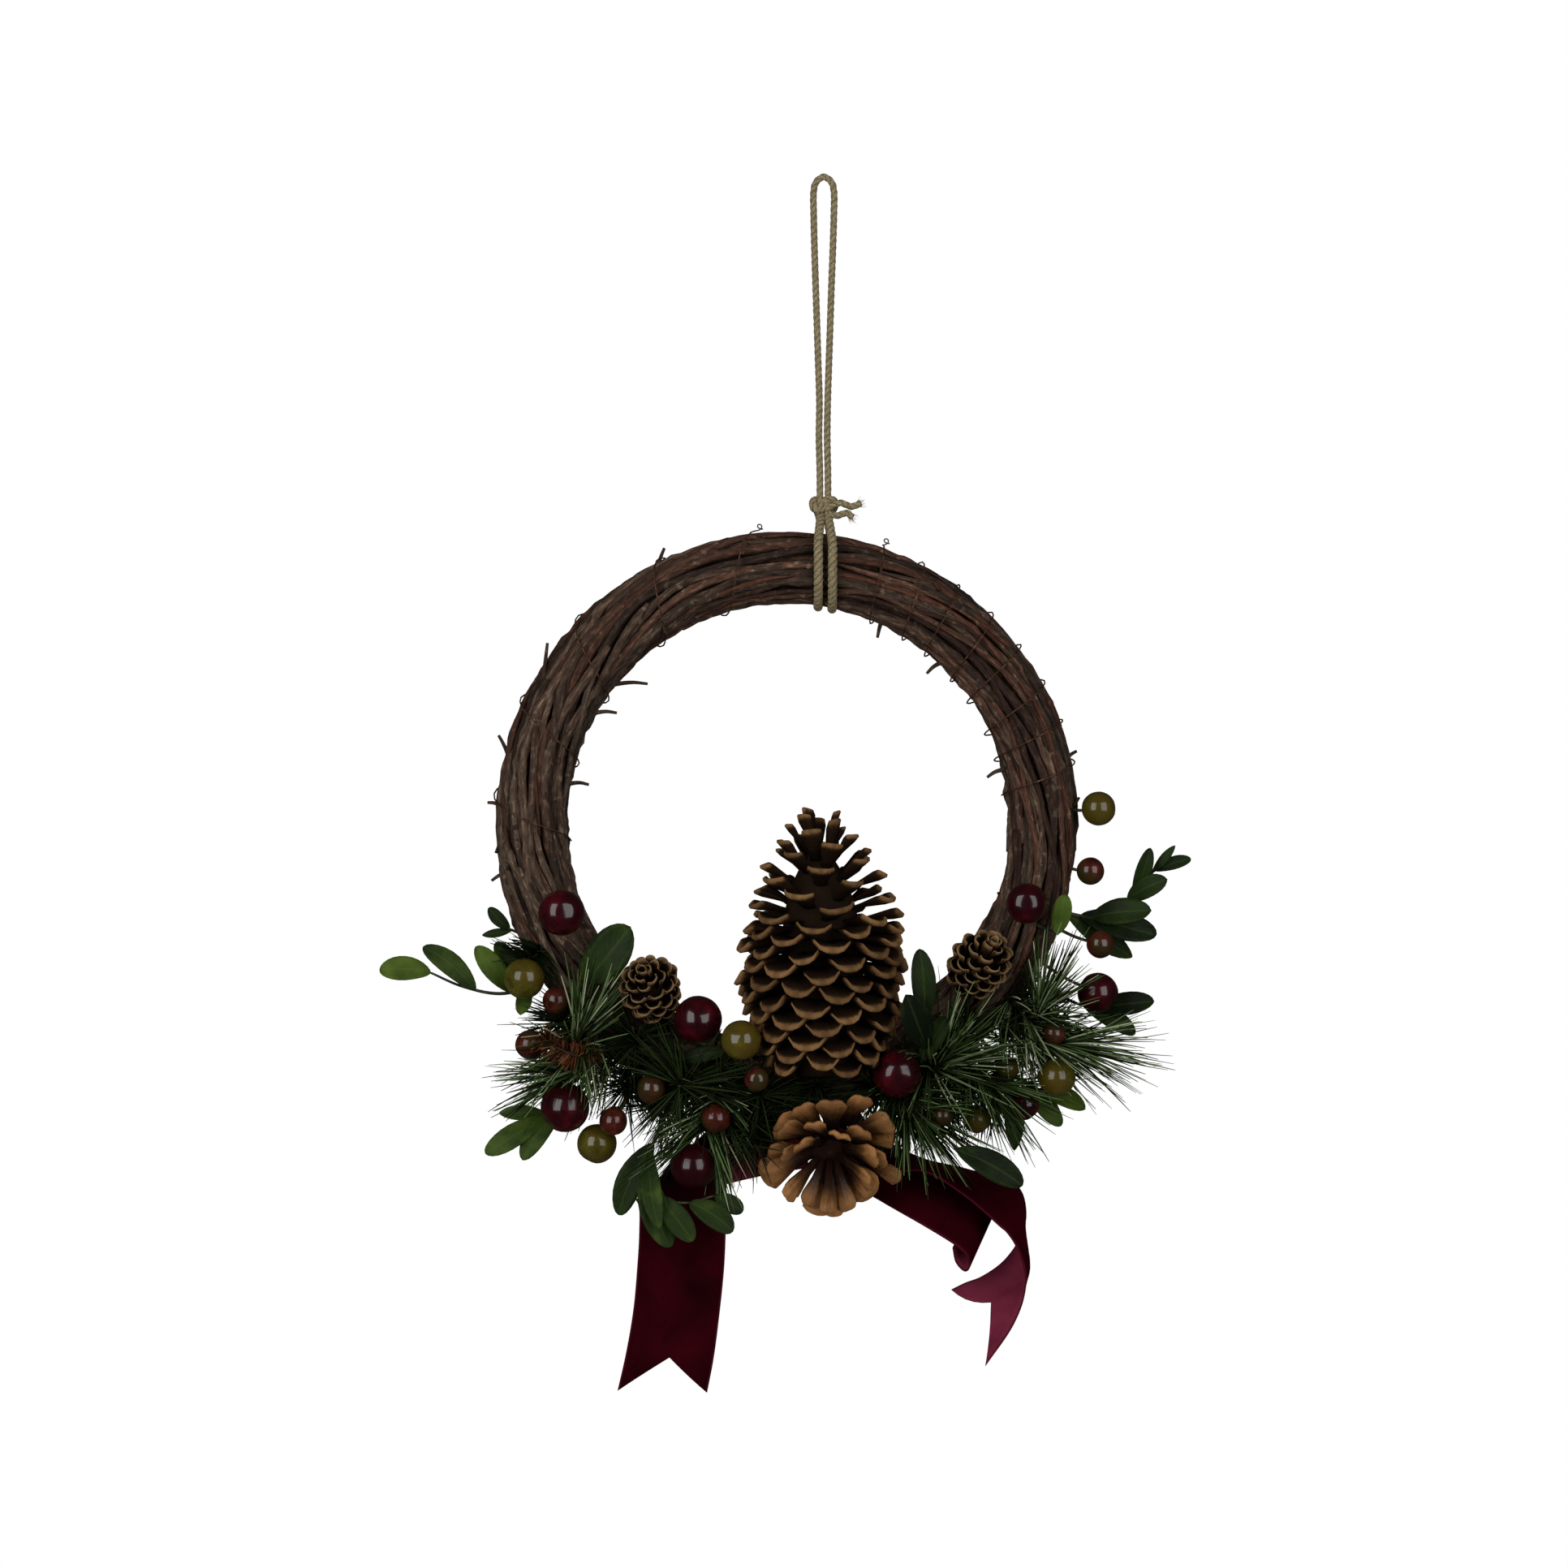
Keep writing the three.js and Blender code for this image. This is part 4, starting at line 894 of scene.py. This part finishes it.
# %% Leaf and stem finishes
leaf_skin = new_material("leathery_leaf", Roughness=0.5, Specular_IOR_Level=0.1)
spot = add(leaf_skin, "TexCoord")
along, across, tone = (add(leaf_skin, "Attribute", attribute_name=name) for name in LAYERS)
clouds = add(leaf_skin, "TexNoise", {"Vector": spot, "Scale": 90.0, "Detail": 3.0})
mixed = add(leaf_skin, "Math", {0: clouds, 1: tone}, operation="ADD")
half_of = add(leaf_skin, "Math", {0: mixed, 1: 0.5}, operation="MULTIPLY")
green = add(leaf_skin, "ValToRGB", {"Fac": half_of},
            [(0.25, "10180b"), (0.5, "24340f"), (0.8, "566c24")])
far = add(leaf_skin, "Math", {0: across}, operation="ABSOLUTE")
ribbed = lay_over(leaf_skin, green, far, 0.1, 0.03, 0.12, "5d7638")
slant = add(leaf_skin, "Math", {0: far, 1: -0.35, 2: along}, operation="MULTIPLY_ADD")
veins = add(leaf_skin, "Math", {0: slant, 1: 56.0}, operation="MULTIPLY")
wave = add(leaf_skin, "Math", {0: veins}, operation="SINE")
relief = add(leaf_skin, "Bump", {"Height": wave, "Strength": 0.15, "Distance": 0.25 * MM})
dress(leaf_skin, ribbed, relief)

leaf_stem = mottled("sprig_stem", 260.0, [(0.35, "20180e"), (0.65, "36421e")], Roughness=0.7)

# %% Leaves on their stems
LEAF_THICKNESS = 0.6
STEM_STEPS = 60
LEAFY_SPRIGS = [
    ("leafy_sprig_left", (213, 20), [(-138.5, 9, -353), (-156, 10, -350), (-170, 10, -344)], [
        (1, (-192, 12, -343), 11), (0.62, (-173, 14, -332.5), 10),
        (0.32, (-150.5, 13, -332.5), 10), (0.26, (-142, 3, -331), 9), (0.2, (-131, 15, -362), 7)]),
    ("leafy_sprig_left_top", (203, 10), [(-137, 6, -325)], [
        (0.9, (-145.3, 8, -316), 6), (0.7, (-148, 7, -328), 4)]),
    ("leafy_sprig_lower_left", (232, 10), [(-108, 1, -396), (-116, 2, -405), (-122, 4, -407)], [
        (1, (-146.5, 8, -422.5), 10.5), (0.8, (-130.5, 10, -425), 10),
        (0.92, (-141, 1, -405.5), 7)]),
    ("oval_leaf_left", (218.5, 80), [(-103, 21, -348)], [(0.95, (-83, 26, -323.5), 19)]),
    ("dark_leaf_centre", (246, 85), [(-62, 24, -381)], [(0.95, (-42.5, 27, -377), 7.5)]),
    ("leafy_sprig_bottom", (246, 40),
     [(-70, 21, -410), (-77, 28, -425), (-73, 33, -437), (-60, 35, -441), (-47, 34, -438)], [
         (0.38, (-88, 27, -447), 12), (0.54, (-66, 36, -460), 13), (0.42, (-70, 43, -452), 9),
         (0.7, (-56, 39, -457), 11), (0.86, (-39, 37, -453), 11),
         (1, (-35, 32, -445), 8)]),
    ("leafy_sprig_inner_right", (298, 88), [(41, 30, -382), (43, 40, -372), (42, 46, -362)], [
        (0.98, (40, 50, -332), 10.5), (0.68, (34, 58, -351), 13), (0.5, (52, 42, -361), 9)]),
    ("small_leaf_right", (338, 70), [(100.5, 20, -327)], [(0.95, (103.5, 24, -309.5), 8.5)]),
    ("leafy_sprig_upper_right", (342, 10),
     [(118, 4, -320), (130, 4, -314), (138, 5, -306), (143, 6, -300)], [
         (0.74, (141, 12, -290), 7), (0.96, (152, 8, -289), 4), (1, (159, 6, -295), 6),
         (0.66, (148, 14, -303.5), 10), (0.3, (141, 16, -317), 12), (0.2, (144, 6, -328), 13),
         (0.05, (134, -4, -338), 11)]),
    ("leafy_pair_right", (328, 5), [(108, 0, -357), (122, 0, -361)], [
        (0.9, (143, 8, -356.5), 10.5), (0.75, (135, 4, -371), 9)]),
    ("leafy_sprig_lower_right", (312, -8), [(82, -3, -389), (93, -2, -396)], [
        (1, (113, 10, -403), 9), (0.85, (103, 2, -411), 9), (0.6, (83, -5, -422), 9)]),
    ("long_leaf_lower_right", (296, 30), [(48, 22, -408), (56, 38, -418)], [
        (1, (84, 42, -433), 12.5)]),
]
leaf_shape = slab_template(6, 12, 1)


def stamp_leaf(bm, root, tip, width, tone, chance):
    length = (tip - root).length
    onward = (tip - root).normalized()
    facing = Vector((0, -1, 0.35))
    facing = (facing - onward * facing.dot(onward)).normalized()
    across = facing.cross(onward)
    sway = chance.uniform(-0.05, 0.05)
    ripple = chance.uniform(0, math.tau)
    blunt = 0.65 if length / MM > 3.2 * width else 0.46

    def place(point):
        side, row, level = point
        share = 0.5 - 0.5 * math.cos(math.pi * row)
        bulge = max(math.sin(math.pi * share**1.2), 0.0) ** blunt
        half = width / 2 * MM * max(bulge, 0.03)
        lift = 0.36 * length * share * (1 - share) + 0.1 * width * MM * side * side
        lift += 0.025 * width * MM * abs(side) * math.sin(9 * share + ripple)
        middle = root + onward * share * length + across * sway * length * share * (1 - share) * 4
        thick = level * LEAF_THICKNESS / 2 * MM * (1 - 0.4 * side * side)
        return middle + across * side * half + facing * (lift + thick), share, side

    stamp(bm, leaf_shape, place, tone + chance.uniform(-0.2, 0.2))


LIGHT_SPRIGS = {"leafy_sprig_left": 0.7, "leafy_sprig_lower_left": 0.6, "small_leaf_right": 1.0,
                "leafy_sprig_bottom": 0.45, "leafy_sprig_lower_right": 0.7}
for node, (angle, side), stem, leaves in LEAFY_SPRIGS:
    bm = new_piece()
    chance = random.Random(node)
    tone = LIGHT_SPRIGS.get(node, 0.25)
    line = [seat(angle, side), *places(stem)]
    path = spline(line, STEM_STEPS)
    for share, tip, width in leaves:
        stamp_leaf(bm, path[round(share * STEM_STEPS)], at(*tip), width, tone, chance)
    stamp_stem(bm, spline(line, 6 * len(line)), 0.95, 0.45)
    finish_piece(node + "_leaves", bm, [leaf_skin, leaf_stem], [node])
print("leaves:", sum(len(leaves) for *_, leaves in LEAFY_SPRIGS))

# %% [markdown]
# ## Velvet ribbon
# The ribbon is 37 mm wide, dark red velvet with a narrow satin selvedge and a smoother, lighter
# back. It is in three lengths that hang from the ring: a left tail folded over at its top, a right
# tail that twists so that its back shows, and a loop in front of it that ends in a curl. Each
# follows pairs of points on its two edges, and the free ends of the tails are cut to a notch.

# %% Velvet, satin back
def ribbon_cloth(name, deep, bright, roughness, sheen, pile):
    made = new_material(name, Roughness=roughness, Sheen_Weight=sheen, Sheen_Roughness=0.4,
                        Specular_IOR_Level=0.0, Sheen_Tint=colour("8a3040"))
    spot = add(made, "TexCoord")
    across = add(made, "Attribute", attribute_name="across")
    # Lighter patches where the crushed pile would catch the light: painted sheen in the colour
    nap_sheen = add(made, "TexNoise", {"Vector": spot, "Scale": 45.0, "Detail": 3.0, "Distortion": 0.5})
    fine = add(made, "TexNoise", {"Vector": spot, "Scale": 2200.0, "Detail": 2.0})
    both = add(made, "Math", {0: fine, 1: 0.35, 2: nap_sheen}, operation="MULTIPLY_ADD")
    base = add(made, "ValToRGB", {"Fac": both}, [(0.45, deep), (0.9, bright)])
    far = add(made, "Math", {0: across}, operation="ABSOLUTE")
    edged = lay_over(made, base, far, 0.95, 0.965, 0.7, "4a1420")
    relief = add(made, "Bump", {"Height": fine, "Strength": 0.5, "Distance": pile * MM})
    dress(made, edged, relief)
    return made


velvet = ribbon_cloth("velvet_pile", "1c0307", "36050e", 0.9, 0.02, 0.3)
satin_back = ribbon_cloth("satin_back", "5c1c2e", "7c3044", 0.6, 0.05, 0.05)

# %% Ribbons between their two edges
RIBBON_WIDTH = 37.4
RIBBON_THICKNESS = 0.7
LEFT_TAIL = [
    [(-88.8, 22, -523), (-50.3, 24, -523.5)],
    [(-85, 22, -506), (-47.5, 23.5, -509)],
    [(-82, 21.5, -488), (-45, 22, -490)],
    [(-80.4, 20, -470), (-43, 20, -470)],
    [(-79.6, 18.5, -455), (-42.2, 18.5, -448)],
    [(-79.8, 17.4, -444), (-42.4, 17.4, -408)],
    [(-81, 15.6, -441.5), (-43.5, 15.6, -405)],
    [(-78.5, 13.8, -442), (-41.5, 13.8, -405)],
    [(-60, 13.4, -440), (-33, 13.2, -405)],
    [(-38, 14, -434), (-22, 12.2, -402.5)],
    [(-22, 14, -430.5), (-14, 11.2, -400.6)],
    [(-7, 14, -428), (-6, 11.2, -400.6)],
]
RIGHT_TAIL = [
    [(54, 34, -478), (68, 44, -509.5)],
    [(61, 22, -476.5), (79.5, 48, -491.5)],
    [(68, 17, -474.5), (84, 48, -480), (2, 0, 0)],
    [(77.5, 12, -468.5), (85, 46, -470.5), (5.2, 0, 0)],
    [(85, 6, -459), (82, 42, -460), (3.4, 0, 0)],
    [(87.5, 5, -448.5), (77.5, 39, -453), (1, 0, 0)],
    [(84, 4, -437), (75, 36.5, -451)],
    [(62, 4, -429.5), (60, 36, -438)],
    [(42, 5, -424.5), (42, 34, -427.5)],
    [(24, 11.5, -414), (24, 22, -431)],
    [(11, 9.2, -398.6), (9, 14.5, -433)],
]
LOOP = [
    [(67, 1, -440.5), (54.9, 31, -460.5)],
    [(69.5, 1.5, -447), (56.3, 31.5, -466.8)],
    [(72, 4, -450.5), (59.8, 34.2, -470.1)],
    [(73, 7, -449), (61.6, 37, -468)],
    [(71, 9.5, -444), (60.4, 39, -463)],
    [(66, 9, -438.5), (56.5, 39, -459.1)],
    [(61, 8, -435.5), (52, 38.5, -456.1)],
    [(48, 7, -429), (42, 34, -450.5)],
    [(32, 8.5, -423.5), (25, 16, -442.5)],
    [(21, 6, -415), (17, 11, -438)],
    [(12, 5.5, -400.5), (9, 9, -430)],
]


def ribbon(name, node, edges, notch, velvet_level):
    """A row's third value is how far its middle bulges; velvet_level is the side with the pile."""
    one = curve_through([at(*row[0]) for row in edges])
    other = curve_through([at(*row[1]) for row in edges])
    middles = [(at(*a) + at(*b)) / 2 + at(*(bulge or [(0, 0, 0)])[0]) for a, b, *bulge in edges]
    spine = curve_through(middles)
    bulge = [middle - (a + b) / 2 for middle, a, b in zip(spine, one, other)]
    centre = [a.lerp(b, 0.5) for a, b in zip(one, other)]
    reach = reaches(centre)
    rows = len(one) - 1
    shape = slab_template(10, rows, 1)

    def row_at(distance, share):
        spot = 0
        while spot < rows - 1 and reach[spot + 1] < distance:
            spot += 1
        part = (distance - reach[spot]) / (reach[spot + 1] - reach[spot])
        left = one[spot].lerp(one[spot + 1], part)
        right = other[spot].lerp(other[spot + 1], part)
        out = bulge[spot].lerp(bulge[spot + 1], part)
        onward = centre[spot + 1] - centre[spot]
        across = right - left + out * (4 - 8 * share)
        return (left.lerp(right, share) + out * (4 * share * (1 - share)),
                onward.cross(across).normalized())

    def place(point):
        side, share, level = point
        distance = reach[-1] * share
        cut = notch * MM * (1 - abs(side)) * max(1 - distance / (3 * notch * MM), 0) if notch else 0
        middle, facing = row_at(distance + cut, (side + 1) / 2)
        thick = level * RIBBON_THICKNESS / 2 * MM
        return middle + facing * thick, distance / MM, side

    bm = new_piece()
    stamp(bm, shape, place)
    for face, flat in zip(bm.faces, shape.polygons):
        if all(shape.vertices[corner].co.z == -velvet_level for corner in flat.vertices):
            face.material_index = 1
    bm.normal_update()
    area = sum(face.calc_area() for face in bm.faces) / 2
    piece = finish_piece(name, bm, [velvet, satin_back], [node])
    print(name, "length", round(reach[-1], 4), "area", round(area, 6),
          "mean width", round(area / reach[-1], 4))
    return piece, reach[-1]


for name, node, edges, notch, velvet_level, held in (
        ("left_tail_velvet", "ribbon_left_tail", LEFT_TAIL, 15, -1, "folded"),
        ("right_tail_velvet", "ribbon_right_tail", RIGHT_TAIL, 15, 1, "hung"),
        ("loop_velvet", "ribbon_loop", LOOP, 0, 1, "hung")):
    piece, length = ribbon(name, node, edges, notch, velvet_level)
    width = RIBBON_WIDTH * MM

# %% [markdown]
# ## Needles
# Nine sprays of long pine needles fan out from short stems between the berries and cones. They are
# plastic, like those of most wreaths: thin strips of mixed greens, dense and a little unruly. One
# to four short tufts at the root of each fill the space between the berries, and their needles take
# only the darker greens, as painted shade. A needle is drawn again where it would run into a berry,
# a cone, a leaf, a twig or the ribbon.

# %% Needle finishes
def needle_plastic(name, shades):
    made = new_material(name, Roughness=0.6, Specular_IOR_Level=0.1)
    tone = add(made, "Attribute", attribute_name="tone")
    shade = add(made, "ValToRGB", {"Fac": tone}, shades)
    dress(made, shade)
    return made


green_needles = needle_plastic("needle_plastic", [(0.0, "0c1106"), (0.4, "2c3c1a"),
                                                  (0.7, "5e7646"), (1.0, "b4be98")])
rust_bristles = needle_plastic("rust_bristle", [(0.0, "2c160c"), (0.6, "62381f"),
                                                (1.0, "94603c")])
spray_bark = new_material("spray_stem", Roughness=0.85, Base_Color=colour("2c2012"))

# %% Needles that fan out from a stem
obstacles = bmesh.new()
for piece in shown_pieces():
    if piece.name.endswith(("_bead", "cone", "_leaves", "_velvet", "_twigs")) \
            or "rosette" in piece.name:
        obstacles.from_mesh(piece.data)
    if piece.name.endswith("_bead"):
        # A berry keeps the space before it clear too, so that the needles don't hide it
        for ahead in (9, 18):
            seen = len(obstacles.verts)
            obstacles.from_mesh(piece.data)
            bmesh.ops.translate(obstacles, verts=obstacles.verts[seen:], vec=at(0, ahead, 0))
# So does the rust sprig
RUST_STEM = [(-103, 27, -379), (-112, 31, -376), (-121, 31, -371)]
ahead_of_rust = [at(x, front + 11, z) for x, front, z in RUST_STEM]
stamp_rod(obstacles, spline(ahead_of_rust, 6), lambda s: 6 * MM, 6)
walls = BVHTree.FromBMesh(obstacles)
obstacles.free()
needle_shape = rod_template(3, 5)
DRAWS = 10  # before a needle is left out
FOOT_OPENING = 62  # degrees, where a stem begins


def stamp_needles(bm, path, count, length, opening, thick, first, chance, lightest=1.0):
    """Adds needles all round a path and returns how many found room."""
    steps = len(path) - 1
    placed = 0
    for number in range(count):
        share = first + (1 - first) * number / (count - 1)
        middle = path[round(share * steps)]
        onward = (path[min(round(share * steps) + 1, steps)]
                  - path[min(round(share * steps), steps - 1)]).normalized()
        side = onward.cross(Vector((0, 0, 1))).normalized()
        over = side.cross(onward)
        for draw in range(DRAWS):
            narrowest, widest = opening
            widest += (FOOT_OPENING - widest) * (1 - share) ** 4
            open_by = math.radians(widest + (narrowest - widest) * share * chance.random())
            around = number * GOLDEN_ANGLE + chance.uniform(-0.6, 0.6)
            outward = side * math.cos(around) + over * math.sin(around)
            direction = onward * math.cos(open_by) + outward * math.sin(open_by)
            reach = length * MM * chance.uniform(0.6, 1.06)
            root = middle + outward * 0.6 * MM
            hit = walls.ray_cast(root + direction * 2 * MM, direction, reach)[0]
            if hit is None:
                break
        else:
            continue
        flex = (outward * chance.uniform(-0.14, 0.05)
                + direction.cross(outward) * chance.uniform(-0.12, 0.12)
                + Vector((0, 0, -1)) * chance.uniform(0, 0.06)) * reach
        spin = chance.uniform(0, math.tau)
        flat = direction.orthogonal().normalized()
        flat = math.cos(spin) * flat + math.sin(spin) * direction.cross(flat)
        edge = direction.cross(flat)

        def place(point):
            way = point.z
            bulk = thick * MM * (1 - 0.7 * way**3)
            line = root + direction * reach * way + flex * way * way
            return line + (flat * point.x + edge * point.y * 0.6) * bulk, way, 0.0

        stamp(bm, needle_shape, place, lightest * chance.random()**1.2)
        placed += 1
    return placed


# Each spray: its seat, its stem, the longest needle, the opening, its seed, its lightest green and
# its tufts, which have a seat, a tip and a longest needle of their own
SPRAYS = [
    ("needles_left_upper", (226, 50), [(-107, 22, -376), (-103, 27, -366)], 40, (8, 38), 11, 1.0, [
        ((222, 30), (-114, 15, -366), 24), ((206, 60), (-129, 16, -341), 20),
        ((233, 85), (-80, 24, -374), 25)]),
    ("needles_left_lower", (233, 30), [(-104, 14, -385), (-113, 16, -388)], 37, (12, 48), 12, 1.0, [
        ((238, 40), (-86, 20, -395), 27), ((247, 30), (-72, 14, -403), 24)]),
    ("needles_centre", (249, 78), [(-59, 27, -391), (-62, 36, -391)], 34, (45, 82), 13, 0.4, [
        ((251, 70), (-44, 30, -392), 28)]),
    ("needles_centre_lower", (256, 62), [(-48, 23, -403), (-51, 28, -411)], 42, (8, 42), 14, 0.9, [
        ((263, 72), (-27, 30, -396), 27), ((271, 85), (-2, 24, -391), 20),
        ((262, 55), (-28, 23, -414), 25), ((264, 60), (-31, 34, -417), 22)]),
    ("needles_right_inner", (300, 80), [(47, 27, -384), (53, 32, -377)], 40, (12, 52), 15, 0.9, [
        ((297, 66), (43, 27, -388), 27), ((312, 85), (62, 22, -371), 25)]),
    ("needles_right_upper", (322, 40), [(90, 19, -364), (94, 25, -355)], 41, (8, 38), 16, 1.0, [
        ((320, 20), (96, 11, -358), 24)]),
    ("needles_right_outer", (317, 25), [(94, 17, -373), (110, 20, -375)], 43, (8, 42), 17, 1.0, [
        ((317, 5), (100, 6, -374), 27)]),
    ("needles_right_middle", (307, 35), [(67, 20, -388), (76, 25, -392)], 40, (10, 50), 18, 0.75, [
        ((306, 15), (72, 14, -400), 26), ((305, 10), (77, 6, -401), 22)]),
    ("needles_right_lower", (292, 48), [(36, 22, -400), (42, 28, -405)], 43, (8, 42), 19, 0.75, [
        ((286, 72), (25, 30, -394), 25), ((288, 35), (37, 15, -411), 22),
        ((297, 20), (55, 10, -407), 24)]),
]
SPRAY_STEPS = 40
NEEDLES_PER_SPRAY = 200
NEEDLES_PER_TUFT = 120
TUFT_OPENING = (35, 88)
# The tufts take only the darker greens of the ramp: painted shade between the berries and under the
# sprays
TUFT_PAINTED_SHADE_LIGHTEST = 0.3
total = 0
for node, root, stem, length, opening, seed, lightest, tufts in SPRAYS:
    bm = new_piece()
    path = spline([seat(*root), *places(stem)], SPRAY_STEPS)
    total += stamp_needles(bm, path, NEEDLES_PER_SPRAY, length, opening, 0.52, 0.04,
                           random.Random(seed), lightest)
    for tuft_root, tuft_tip, tuft_length in tufts:
        short = spline([seat(*tuft_root), at(*tuft_tip)], SPRAY_STEPS)
        total += stamp_needles(bm, short, NEEDLES_PER_TUFT, tuft_length, TUFT_OPENING, 0.5, 0.1,
                               random.Random(seed + 40), TUFT_PAINTED_SHADE_LIGHTEST)
    stamp_stem(bm, path[::4], 1.3, 0.6)
    finish_piece(node + "_fan", bm, [green_needles, spray_bark], [node])
print("needles:", total)

# %% [markdown]
# The rusty brown sprig at the left is like a bottle brush, with a few hundred short bristles.

# %% The rust sprig
BRISTLES = 380
bm = new_piece()
path = spline([seat(229, 52), *places(RUST_STEM)], SPRAY_STEPS)
bristles = stamp_needles(bm, path, BRISTLES, 8.5, (45, 85), 0.42, 0.3, random.Random(23))
stamp_stem(bm, path[::4], 1.2, 0.5)
finish_piece("rust_sprig_bristles", bm, [rust_bristles, spray_bark], ["rust_sprig"])
print("bristles:", bristles)

# %% [markdown]
# ## Studio
# The wreath was photographed against plain white, with two windows that show as small bright shapes
# on the berries. The world is white to the camera, but gives the wreath only a little light, so
# that the shade between the pieces stays deep. Two area lights stand for the windows, and a third,
# weaker one for the wall behind, so that the back isn't left dark. The floor is a pale disc well
# below, because the wreath hangs.

# %% Floor and lights
FLOOR_RADIUS = 0.7
FLOOR_PLACE = (-0.017, 0, -0.75)
bm = bmesh.new()
bmesh.ops.create_circle(bm, cap_ends=True, segments=64, radius=FLOOR_RADIUS)
bmesh.ops.translate(bm, verts=bm.verts, vec=FLOOR_PLACE)
floor_mesh = to_mesh("floor", bm)
floor_mesh.materials.append(
    new_material("pale_floor", Roughness=0.8, Base_Color=colour("e8e8e6")))
floor = new_object("floor", floor_mesh)
floor.visible_glossy = False  # a real room's floor is too far off to show on the berries

ROOM_LIGHT = 0.12
ROOM_MIRRORED = 0.02  # what the lacquer and the leaves mirror of it
world = bpy.data.worlds.new("studio")
world.use_nodes = True
bpy.context.scene.world = world
backdrop = world.node_tree.nodes["Background"]
backdrop.inputs["Color"].default_value = (1, 1, 1, 1)
seen = add(world, "LightPath").node.outputs
mirrored = add(world, "MapRange", {"Value": seen["Is Glossy Ray"], "To Min": ROOM_LIGHT,
                                   "To Max": ROOM_MIRRORED})
brightness = add(world, "MapRange", {"Value": seen["Is Camera Ray"], "To Min": mirrored,
                                     "To Max": 1.0})
world.node_tree.links.new(brightness, backdrop.inputs["Strength"])
bpy.context.scene.view_settings.view_transform = "Standard"


AIM = Vector((-0.017, 0, -0.35))  # the middle of the dressed part


def window(name, place, size, power):
    """A lamp of this size in metres that faces the wreath."""
    light = bpy.data.lights.new(name, "AREA")
    light.shape = "RECTANGLE"
    light.size, light.size_y = size
    light.energy = power
    lamp = new_object(name, light)
    lamp.location = place
    toward = AIM - Vector(place)
    lamp.rotation_euler = toward.to_track_quat("-Z", "Y").to_euler()
    return lamp


window("window_left", (-1.05, -1.35, 0.12), (1.15, 1.6), 18)
window("window_right", (1.0, -1.4, 0.08), (1.15, 1.6), 15)
wall = window("wall_behind", (0.5, 1.5, 0.2), (1.2, 1.2), 9)
wall.visible_glossy = False  # the lacquer would mirror it as a white rim on the berries
